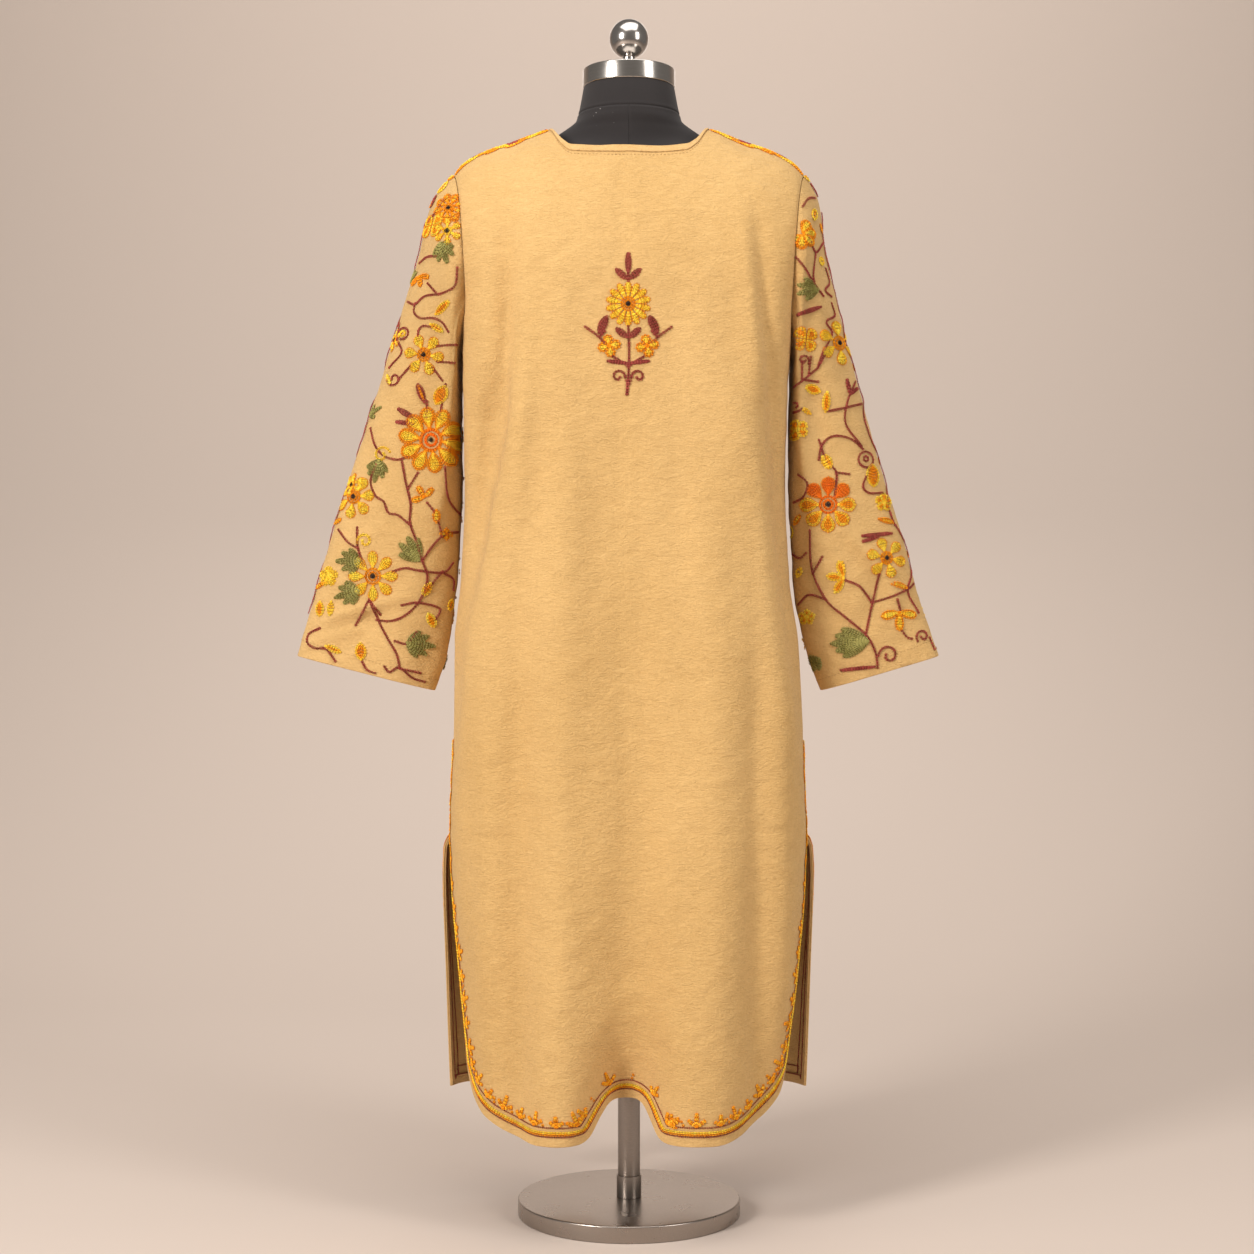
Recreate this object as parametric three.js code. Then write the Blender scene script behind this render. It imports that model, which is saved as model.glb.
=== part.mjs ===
// A long woollen pheran hanging on a limbless dress form with a round stand.
// Millimetres, +Z up. The garment's front faces -Y and the wearer's left is +X, so +Y is the wearer's back.
// The origin is the centre of the stand's underside, on the floor.
import * as THREE from "three";

// ---------------------------------------------------------------- driving dimensions
const CLOTH = 2.2; // wall of the milled wool
const BAND = 1.2; // wall of a single layer sewn on top of the cloth
const SEAM = 0.3; // gap left between two pieces at a seam
const BAND_GAP = 0.8; // the same under the neck band, which bends round tight corners
const ARMHOLE_GAP = 0.6; // the same where the sleeve turns away from the body
const HEM = 120; // lowest level of the sections
const SLIT_TOP = 480; // where the side seams end and the slits begin
const UNDERARM = 1090;
const CHEST = 1150; // above this level the cloth turns in over the shoulders
const ARMHOLE_DEPTH = 66; // how far the armhole reaches back and forward at chest level
const NECK_SIDE = 0.44; // share of a panel's top edge that is neckline, the rest is shoulder seam
const TURN_UP = 13; // width of the turned hem, slit and cuff edges
const NECK_BAND = 11; // width of the band round the neck
const NOTCH = { rise: 42, middle: 2, left: 37, right: 32 }; // the cut-out in the middle of the back hem
const CORNER = { across: 128, up: 88, power: 1.75 }; // the rounded bottom corners of the back
const FRONT_RISE = 28; // the straight front hem hangs this much higher than the back's lowest point
const SIDE_CALM = 40; // folds die out over this depth before a side seam
const HEM_FADE = 420; // above this level the rows of cloth run level

// The side seam: half is the half-width there, shift moves the whole level towards +X.
const SIDE = [
  { z: 480, half: 223, shift: 1 },
  { z: 600, half: 220, shift: 1 },
  { z: 720, half: 216, shift: 3 },
  { z: 800, half: 207, shift: 5 },
  { z: 920, half: 202, shift: 5 },
  { z: 1040, half: 203, shift: 4 },
  { z: 1090, half: 205, shift: 3 },
  { z: 1150, half: 209, shift: 0 },
];

// The two panels. skirt is the free edge below the slit, where edge is how far it stands off the side line;
// profile is the centre line's depth and how square the level is; top is the neckline and shoulder seam.
const BACK = {
  facing: 1,
  skirt: [
    { z: 110, half: 201, shift: 4, edge: 62 },
    { z: 190, half: 204, shift: 3, edge: 58 },
    { z: 300, half: 212, shift: 1, edge: 42 },
    { z: 400, half: 219, shift: 1, edge: 20 },
    { z: 480, half: 223, shift: 1, edge: 0 },
  ],
  profile: [
    { z: 110, depth: 146, square: 2.6 },
    { z: 300, depth: 139, square: 2.8 },
    { z: 480, depth: 132, square: 3.1 },
    { z: 720, depth: 125, square: 3.3 },
    { z: 920, depth: 121, square: 3.4 },
    { z: 1090, depth: 119, square: 3.7 },
    { z: 1150, depth: 117, square: 3.9 },
  ],
  top: [
    { s: 0, x: 0, z: 1332 },
    { s: 0.2, x: 46, z: 1332 },
    { s: 0.31, x: 71, z: 1334 },
    { s: 0.36, x: 83, z: 1343 },
    { s: NECK_SIDE, x: 101, z: 1366 },
    { s: 0.62, x: 141, z: 1352 },
    { s: 0.78, x: 177, z: 1339 },
    { s: 0.9, x: 204, z: 1325 },
    { s: 1, x: 226, z: 1306 },
  ],
};
const FRONT = {
  facing: -1,
  skirt: [
    { z: 110, half: 239, shift: 1, edge: 66 },
    { z: 300, half: 237, shift: 1, edge: 44 },
    { z: 420, half: 236, shift: 1, edge: 20 },
    { z: 464, half: 233, shift: 1, edge: 10 },
    { z: 480, half: 223, shift: 1, edge: 0 },
  ],
  profile: [
    { z: 110, depth: 136, square: 2.9 },
    { z: 480, depth: 128, square: 3.1 },
    { z: 800, depth: 124, square: 3.1 },
    { z: 1000, depth: 130, square: 3.2 },
    { z: 1090, depth: 132, square: 3.5 },
    { z: 1150, depth: 130, square: 3.6 },
  ],
  top: [
    { s: 0, x: 0, z: 1258 },
    { s: 0.12, x: 30, z: 1264 },
    { s: 0.22, x: 57, z: 1281 },
    { s: 0.3, x: 78, z: 1308 },
    { s: 0.37, x: 92, z: 1338 },
    { s: NECK_SIDE, x: 101, z: 1366 },
    { s: 0.62, x: 141, z: 1352 },
    { s: 0.78, x: 177, z: 1339 },
    { s: 0.9, x: 204, z: 1325 },
    { s: 1, x: 226, z: 1306 },
  ],
};
// The height of the shoulder line, which both panels rise to. The necklines cut its middle away.
const SHOULDER = [
  { x: 0, z: 1384 },
  { x: 101, z: 1366 },
  { x: 141, z: 1352 },
  { x: 177, z: 1339 },
  { x: 204, z: 1325 },
  { x: 226, z: 1306 },
];
const SHOULDER_SPREAD = 38; // how much wider than the chest the shoulder line's own curve is, each side

// Folds, each a straight soft ridge (height above 0) or trough (below 0) from its low end to its high end.
// u is the distance across the panel from its centre line, z the height, width the fold's half-width.
BACK.folds = [
  { u0: 5, z0: 110, h0: -66, u1: 2, z1: 300, h1: -12, width: 40, fade: 70 }, // the deep fold at the notch
  { u0: 92, z0: 110, h0: 13, u1: 78, z1: 420, h1: 3, width: 44, fade: 120 },
  { u0: -84, z0: 110, h0: 14, u1: -72, z1: 420, h1: 3, width: 42, fade: 120 },
  { u0: 208, z0: 640, h0: 4, u1: 138, z1: 990, h1: 7, width: 30, fade: 55 }, // left side drape
  { u0: 240, z0: 640, h0: -6, u1: 184, z1: 990, h1: -14, width: 30, fade: 50 },
  { u0: -206, z0: 640, h0: 4, u1: -136, z1: 1000, h1: 6, width: 30, fade: 55 }, // right side drape
  { u0: -238, z0: 640, h0: -6, u1: -182, z1: 1000, h1: -13, width: 30, fade: 50 },
];
FRONT.folds = [
  { u0: 8, z0: 110, h0: -26, u1: 4, z1: 560, h1: -4, width: 42, fade: 150 },
  { u0: 92, z0: 110, h0: 16, u1: 74, z1: 760, h1: 4, width: 40, fade: 150 },
  { u0: -86, z0: 110, h0: 15, u1: -70, z1: 740, h1: 4, width: 40, fade: 150 },
  { u0: 172, z0: 120, h0: -15, u1: 150, z1: 900, h1: -9, width: 30, fade: 120 },
  { u0: -170, z0: 120, h0: -14, u1: -152, z1: 880, h1: -8, width: 30, fade: 120 },
];

// The sleeve's sections from the armhole to the cuff. Each joins a point on the inner line, beside the body,
// to one on the outer line. clear is the inner point's gap from the side seam, deep the section's half-depth
// and forward how far the section hangs towards the front.
const SLEEVE = [
  { at: 0, innerZ: 1090, clear: 0, outerZ: 1306, left: 226, right: 226, deep: 66, forward: 0, square: 2 },
  { at: 0.06, innerZ: 1064, clear: 5, outerZ: 1273, left: 251, right: 241, deep: 71, forward: 2, square: 2 },
  { at: 0.16, innerZ: 1018, clear: 5, outerZ: 1212, left: 266, right: 250, deep: 68, forward: 6, square: 2 },
  { at: 0.28, innerZ: 960, clear: 5, outerZ: 1140, left: 288, right: 266, deep: 64, forward: 10, square: 2.1 },
  { at: 0.4, innerZ: 902, clear: 5, outerZ: 1066, left: 311, right: 285, deep: 59, forward: 12, square: 2.1 },
  { at: 0.52, innerZ: 846, clear: 5, outerZ: 992, left: 334, right: 304, deep: 53, forward: 12, square: 2.2 },
  { at: 0.64, innerZ: 794, clear: 5, outerZ: 918, left: 357, right: 326, deep: 47, forward: 10, square: 2.2 },
  { at: 0.76, innerZ: 747, clear: 6, outerZ: 846, left: 379, right: 348, deep: 41, forward: 8, square: 2.3 },
  { at: 0.88, innerZ: 703, clear: 11, outerZ: 774, left: 399, right: 369, deep: 35, forward: 6, square: 2.3 },
  { at: 1, innerZ: 660, clear: 25, outerZ: 704, left: 419, right: 391, deep: 29, forward: 4, square: 2.4 },
];
// Sleeve folds run along it: turn is the place round the sleeve, 0 on the inner line, 0.25 at the back,
// 0.5 on the outer line and 0.75 at the front; at is the place along it.
const SLEEVE_FOLDS = [
  { turn0: 0.12, at0: 0.02, turn1: 0.17, at1: 0.62, height: 9, width: 0.035 },
  { turn0: 0.2, at0: 0.02, turn1: 0.26, at1: 0.55, height: -6, width: 0.045 },
  { turn0: 0.86, at0: 0.05, turn1: 0.8, at1: 0.6, height: 7, width: 0.05 },
  { turn0: 0.36, at0: 0.72, turn1: 0.2, at1: 0.94, height: -5, width: 0.04 },
];
const LOOP_FADE = 0.3; // the armhole's own outline fades out over this share of the sleeve

// The dress form: a limbless torso in horizontal sections.
const FORM = [
  { z: 700, half: 160, back: 92, front: 82, square: 2.3 },
  { z: 716, half: 170, back: 100, front: 88, square: 2.3 },
  { z: 830, half: 174, back: 108, front: 94, square: 2.3 },
  { z: 920, half: 156, back: 98, front: 92, square: 2.3 },
  { z: 1000, half: 142, back: 90, front: 94, square: 2.3 },
  { z: 1080, half: 150, back: 98, front: 108, square: 2.3 },
  { z: 1150, half: 162, back: 105, front: 116, square: 2.4 },
  { z: 1210, half: 170, back: 102, front: 108, square: 2.3 },
  { z: 1262, half: 177, back: 92, front: 86, square: 2.1 },
  { z: 1296, half: 182, back: 80, front: 72, square: 1.8 },
  { z: 1316, half: 178, back: 70, front: 63, square: 1.5 },
  { z: 1332, half: 152, back: 61, front: 55, square: 1.35 },
  { z: 1346, half: 117, back: 58, front: 53, square: 1.35 },
  { z: 1364, half: 85, back: 59, front: 56, square: 1.6 },
  { z: 1377, half: 67, back: 61, front: 60, square: 2 },
  { z: 1391, half: 63, back: 60, front: 60, square: 2 },
  { z: 1406, half: 60, back: 59, front: 59, square: 2 },
  { z: 1420, half: 57.5, back: 57.5, front: 57.5, square: 2 },
];
const CAP = { radius: 58.2, bottom: 1420.3, top: 1443, edge: 1, dome: 6, post: 9 };
const BALL = { radius: 24.8, middle: 1483, stem: 8 };
const STAND = { radius: 140, thick: 21, bevel: 1.5 };
const POLE = { radius: 14, socket: 15.6, socketTop: 49 };

// Grid sizes
const BACK_COLUMNS = 38;
const FRONT_COLUMNS = 28;
const SKIRT_ROWS = { back: 15, front: 11 };
const HEM_ROWS = 4; // close rows above the turned hem, where the folds are deepest
const HEM_ROWS_END = 300;
const MIDDLE_LEVELS = [390, SLIT_TOP - 16, SLIT_TOP];
const ARMHOLE_STEPS = [0.3, 0.66, 1]; // share of the quarter turn from the underarm to the chest
const TOP_STEPS = [0.16, 0.32, 0.48, 0.64, 0.8]; // shares of the way from the chest to the top edge
const TURNED_EDGE = 0.952; // where a panel's turned side edge begins, as a share of its half-width
const SLEEVE_FIRST = 0.012; // the sleeve's first section past the armhole seam
const CUFF_START = 0.976; // where the turned cuff begins along the sleeve
const SLEEVE_RINGS = 15;
const ARC_STEPS = 64;

// ---------------------------------------------------------------- small helpers
const clamp = (v, low, high) => Math.min(high, Math.max(low, v));
const smooth = (v) => {
  const q = clamp(v, 0, 1);
  return q * q * (3 - 2 * q);
};
const mix = (a, b, q) => a + (b - a) * q;
const vector = (x, y, z) => new THREE.Vector3(x, y, z);

// Reads every column of a table at a value of its key column, smoothly and without overshoot.
function read(rows, key, value) {
  const last = rows.length - 1;
  const v = clamp(value, rows[0][key], rows[last][key]);
  let i = 0;
  while (i < last - 1 && v > rows[i + 1][key]) i++;
  const span = rows[i + 1][key] - rows[i][key];
  const q = (v - rows[i][key]) / span;
  const out = {};
  for (const column of Object.keys(rows[0])) {
    const slope = (k) => (rows[k + 1][column] - rows[k][column]) / (rows[k + 1][key] - rows[k][key]);
    const tangent = (k) => {
      if (k === 0) return slope(0);
      if (k === last) return slope(last - 1);
      const before = slope(k - 1);
      const after = slope(k);
      return before * after > 0 ? (2 * before * after) / (before + after) : 0;
    };
    const [a, b] = [rows[i][column], rows[i + 1][column]];
    const cube = q * q * (3 - 2 * q);
    const lead = q * (1 - q) * (1 - q) * tangent(i) * span;
    const trail = q * q * (1 - q) * tangent(i + 1) * span;
    out[column] = mix(a, b, cube) + lead - trail;
  }
  return out;
}

// ---------------------------------------------------------------- the front and back panels
// How far the armhole has opened at a level: a quarter ellipse from the underarm up to the chest.
const armholeEdge = (z) => {
  const q = clamp((CHEST - z) / (CHEST - UNDERARM), 0, 1);
  return ARMHOLE_DEPTH * Math.sqrt(1 - q * q);
};

// One level of a panel, from the centre line to its edge: a superellipse cut off where the edge is.
function levelArc(panel, z) {
  const side = z < SLIT_TOP ? read(panel.skirt, "z", z) : read(SIDE, "z", z);
  const { depth, square } = read(panel.profile, "z", z);
  const edge = z < SLIT_TOP ? side.edge : armholeEdge(z);
  const end = Math.asin((edge / depth) ** (square / 2));
  const points = [];
  for (let i = 0; i <= ARC_STEPS; i++) {
    const angle = mix(Math.PI / 2, end, i / ARC_STEPS);
    const x = side.half * Math.max(0, Math.cos(angle)) ** (2 / square);
    const y = depth * Math.max(0, Math.sin(angle)) ** (2 / square);
    const before = points[i - 1];
    const length = before ? before.length + Math.hypot(x - before.x, y - before.y) : 0;
    points.push({ x, y, length });
  }
  return { points, length: points[ARC_STEPS].length, shift: side.shift };
}

// The point a share s of the way along a level, with the direction that faces out of the cloth there.
function alongArc(arc, s) {
  const target = Math.abs(s) * arc.length;
  let i = 1;
  while (i < ARC_STEPS && arc.points[i].length < target) i++;
  const [a, b] = [arc.points[i - 1], arc.points[i]];
  const step = b.length - a.length;
  const q = (target - a.length) / step;
  const out = vector((a.y - b.y) / step, (b.x - a.x) / step, 0);
  return { x: mix(a.x, b.x, q), y: mix(a.y, b.y, q), out };
}

function foldHeight(folds, u, z) {
  let total = 0;
  for (const f of folds) {
    const [du, dz] = [f.u1 - f.u0, f.z1 - f.z0];
    const length = Math.hypot(du, dz);
    const along = ((u - f.u0) * du + (z - f.z0) * dz) / length;
    const across = ((u - f.u0) * dz - (z - f.z0) * du) / length;
    const past = Math.max(0, -along, along - length);
    const height = mix(f.h0, f.h1, smooth(along / length));
    total += height * Math.exp(-((across / f.width) ** 2) - (past / f.fade) ** 2);
  }
  return total;
}

// How far the cut edge of the hem rises above its lowest level.
function hemRise(panel, u, halfLength) {
  if (panel === FRONT) return FRONT_RISE;
  const fromEdge = halfLength - Math.abs(u);
  const round = clamp((CORNER.across - fromEdge) / CORNER.across, 0, 1);
  const corner = CORNER.up * (1 - (1 - round ** CORNER.power) ** (1 / CORNER.power));
  const off = u - NOTCH.middle;
  const notch = NOTCH.rise * Math.exp(-(Math.abs(off / (off > 0 ? NOTCH.left : NOTCH.right)) ** 3.4));
  return corner + notch;
}

// A point of a panel's outer face. s runs from -1 at the right edge to 1 at the left edge; level is a height
// up to the chest, and over is the share of the way from there to the top edge.
function panelPoint(panel, s, level, over) {
  const side = Math.sign(s) || 1;
  const foot = levelArc(panel, HEM + CORNER.up).length;
  const rise = hemRise(panel, s * foot, foot) * clamp((HEM_FADE - level) / (HEM_FADE - HEM), 0, 1);
  const z = level + rise;
  const arc = levelArc(panel, z);
  const at = alongArc(arc, s);
  const fold = foldHeight(panel.folds, s * arc.length, z) * smooth(at.y / SIDE_CALM);
  const x = at.x + at.out.x * fold;
  const y = at.y + at.out.y * fold;
  if (over <= 0) return vector(arc.shift + side * x, panel.facing * (y + SEAM / 2), z);

  // Above the chest the cloth turns in towards the shoulder line along a quarter ellipse.
  const top = read(panel.top, "s", Math.abs(s));
  const topTurn = Math.asin(Math.min(1, (top.z - CHEST) / (read(SHOULDER, "x", top.x).z - CHEST)));
  const turn = over * topTurn;
  const topX = mix(at.x, top.x, over ** 1.6);
  const { depth, square } = read(panel.profile, "z", CHEST);
  const half = read(SIDE, "z", CHEST).half + SHOULDER_SPREAD * Math.sin(turn);
  const topY = depth * (1 - (topX / half) ** square) ** (1 / square) * Math.cos(turn);
  const topZ = CHEST + (read(SHOULDER, "x", topX).z - CHEST) * Math.sin(turn);
  return vector(side * (topX + (x - at.x) * (1 - over)), panel.facing * (topY + SEAM / 2), topZ);
}

// The rows of a panel: levels from the hem up to the chest, then shares of the way to the top edge.
function panelRows(panel, skirtRows) {
  const levels = [HEM, HEM + TURN_UP];
  for (let i = 1; i <= HEM_ROWS; i++) levels.push(mix(HEM + TURN_UP, HEM_ROWS_END, i / HEM_ROWS));
  levels.push(...MIDDLE_LEVELS);
  const rest = skirtRows - levels.length + 1;
  for (let i = 1; i <= rest; i++) levels.push(mix(SLIT_TOP, UNDERARM, i / rest));
  for (const q of ARMHOLE_STEPS) levels.push(mix(UNDERARM, CHEST, 1 - Math.cos((q * Math.PI) / 2)));
  const band = 1 - NECK_BAND / (panel.top[0].z - CHEST);
  const overs = [...TOP_STEPS, band, 1];
  return [...levels.map((level) => ({ level, over: 0 })), ...overs.map((over) => ({ level: CHEST, over }))];
}

// Column places across a panel. They include the turned edges and the ends of the neckline.
function panelColumns(count) {
  const half = [];
  const inner = Math.round((count / 2 - 1) * 0.5);
  const outer = count / 2 - 1 - inner;
  for (let i = 0; i < inner; i++) half.push((NECK_SIDE * i) / inner);
  for (let i = 0; i <= outer; i++) half.push(mix(NECK_SIDE, TURNED_EDGE, i / outer));
  half.push(1);
  return [...half.slice(1).reverse().map((s) => -s), ...half];
}

// Outward unit directions at every grid point, from its neighbours.
function gridNormals(points, closed, flip) {
  const rows = points.length;
  const columns = points[0].length;
  const column = (j) => (closed ? (j + columns) % columns : clamp(j, 0, columns - 1));
  return points.map((row, i) =>
    row.map((_, j) => {
      const up = points[Math.min(i + 1, rows - 1)][j].clone().sub(points[Math.max(i - 1, 0)][j]);
      const across = row[column(j + 1)].clone().sub(row[column(j - 1)]);
      return across.cross(up).multiplyScalar(flip).normalize();
    }),
  );
}

function panelGrid(panel, columns, skirtRows) {
  const rows = panelRows(panel, skirtRows);
  const places = panelColumns(columns);
  const points = rows.map((r) => places.map((s) => panelPoint(panel, s, r.level, r.over)));
  const normals = gridNormals(points, false, -panel.facing);
  const last = rows.length - 1;
  rows.forEach((r, i) => {
    if (r.level < SLIT_TOP || r.level > UNDERARM || r.over > 0) return;
    normals[i][0].set(-1, 0, 0); // the panels meet square at the side seams
    normals[i][places.length - 1].set(1, 0, 0);
  });
  places.forEach((s, j) => {
    if (Math.abs(s) < NECK_SIDE) return;
    normals[last][j].setY(0).normalize(); // and along the shoulder seams
  });
  return { points, normals, rows, places, closed: false };
}

// ---------------------------------------------------------------- walls made from a grid
// A closed wall between two distances along the grid's normals, over the quads that keep() picks.
function wall(grid, low, high, keep = () => true) {
  const { points, normals, closed } = grid;
  const columns = points[0].length;
  const positions = [];
  const found = new Map();
  const vertex = (i, j, side) => {
    const key = `${i},${j},${side}`;
    if (!found.has(key)) {
      found.set(key, positions.length / 3);
      const p = points[i][j].clone().addScaledVector(normals[i][j], side ? high : low);
      positions.push(p.x, p.y, p.z);
    }
    return found.get(key);
  };
  const index = [];
  const edges = new Map();
  for (let i = 0; i < points.length - 1; i++) {
    for (let j = 0; j < columns - (closed ? 0 : 1); j++) {
      if (!keep(i, j)) continue;
      const n = (j + 1) % columns;
      const corners = [[i, j], [i, n], [i + 1, n], [i + 1, j]];
      const outer = corners.map(([r, c]) => vertex(r, c, 1));
      const inner = corners.map(([r, c]) => vertex(r, c, 0));
      index.push(outer[0], outer[1], outer[2], outer[0], outer[2], outer[3]);
      index.push(inner[0], inner[2], inner[1], inner[0], inner[3], inner[2]);
      for (let k = 0; k < 4; k++) {
        const [a, b] = [corners[k], corners[(k + 1) % 4]];
        const back = `${b},${a}`;
        if (edges.has(back)) edges.delete(back);
        else edges.set(`${a},${b}`, [a, b]);
      }
    }
  }
  for (const [a, b] of edges.values()) {
    const [ao, bo, ai, bi] = [vertex(...a, 1), vertex(...b, 1), vertex(...a, 0), vertex(...b, 0)];
    index.push(ao, ai, bi, ao, bi, bo);
  }
  return solid(positions, index);
}

// A geometry from positions and triangles, with its faces turned outwards.
function solid(positions, index) {
  const corner = (k) => vector(...positions.slice(3 * index[k], 3 * index[k] + 3));
  let volume = 0;
  for (let k = 0; k < index.length; k += 3) volume += corner(k).dot(corner(k + 1).cross(corner(k + 2)));
  if (volume < 0) index.reverse();
  const geometry = new THREE.BufferGeometry();
  geometry.setAttribute("position", new THREE.Float32BufferAttribute(positions, 3));
  geometry.setIndex(index);
  geometry.computeVertexNormals();
  return geometry;
}

// ---------------------------------------------------------------- sleeves
// The armhole: up the back panel's edge to the shoulder tip, then down the front panel's edge.
function armholeLoop(backGrid, frontGrid, side) {
  const edge = (grid) => {
    const column = side > 0 ? grid.places.length - 1 : 0;
    const inside = side > 0 ? column - 1 : 1;
    const first = grid.rows.findIndex((r) => r.level === UNDERARM);
    return grid.rows.slice(first).map((_, k) => {
      const i = first + k;
      const point = grid.points[i][column];
      const leave = point.clone().sub(grid.points[i][inside]).normalize();
      return { point, normal: grid.normals[i][column], leave };
    });
  };
  const back = edge(backGrid);
  const front = edge(frontGrid).reverse();
  return [...back, ...front.slice(1, -1)];
}

function sleeveGrid(backGrid, frontGrid, side) {
  const loop = armholeLoop(backGrid, frontGrid, side);
  const sides = loop.length;
  const reach = side > 0 ? "left" : "right";
  const frameAt = (at) => {
    const r = read(SLEEVE, "at", at);
    const seam = read(SIDE, "z", r.innerZ);
    const innerX = seam.half + side * seam.shift + r.clear;
    const inner = vector(side * innerX, -r.forward, r.innerZ);
    const outer = vector(side * r[reach], -r.forward, r.outerZ);
    const middle = inner.clone().add(outer).multiplyScalar(0.5);
    const arm = outer.clone().sub(inner).multiplyScalar(0.5);
    const away = vector(arm.z * side, 0, -arm.x * side).normalize();
    return { middle, arm, away, deep: r.deep, square: r.square };
  };
  const start = frameAt(0);
  const local = loop.map(({ point }) => {
    const p = point.clone().sub(start.middle);
    const along = p.dot(start.arm) / start.arm.lengthSq();
    return { along, deep: p.y / start.deep, away: p.dot(start.away) };
  });
  const points = [];
  const stops = [0, SLEEVE_FIRST];
  for (let i = 1; i < SLEEVE_RINGS; i++) stops.push(mix(SLEEVE_FIRST, CUFF_START, i / (SLEEVE_RINGS - 1)));
  stops.push(1);
  for (const at of stops) {
    const f = frameAt(at);
    const own = 1 - smooth(at / LOOP_FADE);
    const ring = local.map((l, m) => {
      const angle = (2 * Math.PI * m) / sides;
      const power = 2 / f.square;
      const along = -Math.sign(Math.cos(angle)) * Math.abs(Math.cos(angle)) ** power;
      const deep = Math.sign(Math.sin(angle)) * Math.abs(Math.sin(angle)) ** power;
      const swell = sleeveFold(m / sides, at);
      return f.middle
        .clone()
        .addScaledVector(f.arm, mix(along, l.along, own) * (1 + swell / f.arm.length()))
        .add(vector(0, mix(deep, l.deep, own) * (f.deep + swell), 0))
        .addScaledVector(f.away, l.away * own);
    });
    points.push(ring);
  }
  points[0] = loop.map(({ point, leave }) =>
    point.clone().addScaledVector(leave, ARMHOLE_GAP).add(vector(side * ARMHOLE_GAP, 0, 0)),
  );
  const normals = gridNormals(points, true, side);
  loop.forEach(({ point, normal }, m) => {
    const under = 1 - smooth((point.z - UNDERARM) / 30);
    normals[0][m].copy(normal).multiplyScalar(1 - under).add(vector(0, 0, -under)).normalize();
  });
  return { points, normals, closed: true };
}

function sleeveFold(turn, at) {
  let total = 0;
  for (const f of SLEEVE_FOLDS) {
    const q = (at - f.at0) / (f.at1 - f.at0);
    const off = turn - mix(f.turn0, f.turn1, clamp(q, 0, 1));
    const along = Math.sin(Math.PI * clamp(q, 0, 1)) ** 1.5;
    total += f.height * along * Math.exp(-((off / f.width) ** 2));
  }
  return total;
}

// ---------------------------------------------------------------- dress form and stand
function formGeometry() {
  const sides = 32;
  const heights = [];
  FORM.forEach((row, i) => {
    heights.push(row.z);
    const next = FORM[i + 1];
    if (next && next.z - row.z > 70) heights.push((row.z + next.z) / 2);
  });
  const positions = [];
  for (const z of heights) {
    const r = read(FORM, "z", z);
    for (let m = 0; m < sides; m++) {
      const angle = (2 * Math.PI * m) / sides;
      const [c, s] = [Math.cos(angle), Math.sin(angle)];
      const x = r.half * Math.sign(c) * Math.abs(c) ** (2 / r.square);
      const y = (s > 0 ? r.back : r.front) * Math.sign(s) * Math.abs(s) ** (2 / r.square);
      positions.push(x, y, z);
    }
  }
  const index = [];
  for (let i = 0; i < heights.length - 1; i++) {
    for (let m = 0; m < sides; m++) {
      const n = (m + 1) % sides;
      const [a, b, c, d] = [i * sides + m, i * sides + n, (i + 1) * sides + n, (i + 1) * sides + m];
      index.push(a, b, c, a, c, d);
    }
  }
  const bottom = positions.length / 3;
  positions.push(0, 0, heights[0], 0, 0, heights[heights.length - 1]);
  const topRing = (heights.length - 1) * sides;
  for (let m = 0; m < sides; m++) {
    const n = (m + 1) % sides;
    index.push(bottom, n, m, bottom + 1, topRing + m, topRing + n);
  }
  return solid(positions, index);
}

// A turned piece from its [radius, height] outline, bottom to top, standing on +Z.
function turned(outline, sides) {
  const geometry = new THREE.LatheGeometry(outline.map(([r, z]) => new THREE.Vector2(r, z)), sides);
  return geometry.rotateX(Math.PI / 2);
}

function baseOutline() {
  const { radius, thick, bevel } = STAND;
  const flat = radius - bevel;
  return [[0, 0], [flat, 0], [radius, bevel], [radius, thick - bevel], [flat, thick], [0, thick]];
}

function poleOutline() {
  const [foot, top] = [STAND.thick + SEAM, FORM[0].z - SEAM];
  return [[0, foot], [POLE.radius, foot], [POLE.radius, top], [0, top]];
}

function socketOutline() {
  const { radius, socket, socketTop } = POLE;
  const foot = STAND.thick + SEAM;
  const hole = radius + SEAM;
  return [[hole, foot], [socket, foot], [socket, socketTop], [hole, socketTop], [hole, foot]];
}

function capOutline() {
  const { radius, bottom, top, edge, dome, post } = CAP;
  const flat = radius - edge;
  const rim = [[0, bottom], [flat, bottom], [radius, bottom + edge], [radius, top - edge], [flat, top]];
  return [...rim, [radius * 0.6, top + dome * 0.7], [post, top + dome], [0, top + dome]];
}

function finialOutline() {
  const foot = CAP.top + CAP.dome + SEAM;
  const first = Math.asin(BALL.stem / BALL.radius);
  const outline = [[0, foot], [BALL.stem + 2, foot], [BALL.stem, foot + 4]];
  const steps = 12;
  for (let i = 0; i < steps; i++) {
    const angle = mix(first, Math.PI, i / steps);
    outline.push([BALL.radius * Math.sin(angle), BALL.middle - BALL.radius * Math.cos(angle)]);
  }
  outline.push([0, BALL.middle + BALL.radius]);
  return outline;
}

// ---------------------------------------------------------------- assembly
const wool = new THREE.MeshStandardMaterial({ color: 0xd9b878, roughness: 0.92 });
const woolBand = new THREE.MeshStandardMaterial({ color: 0xdcbd82, roughness: 0.9 });
const formCover = new THREE.MeshStandardMaterial({ color: 0x1f1c1d, roughness: 0.85 });
const steel = new THREE.MeshStandardMaterial({ color: 0xa39a90, roughness: 0.3, metalness: 1 });

const pheran = new THREE.Group();
function add(name, geometry, material) {
  const mesh = new THREE.Mesh(geometry, material);
  mesh.name = name;
  pheran.add(mesh);
}

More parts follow.
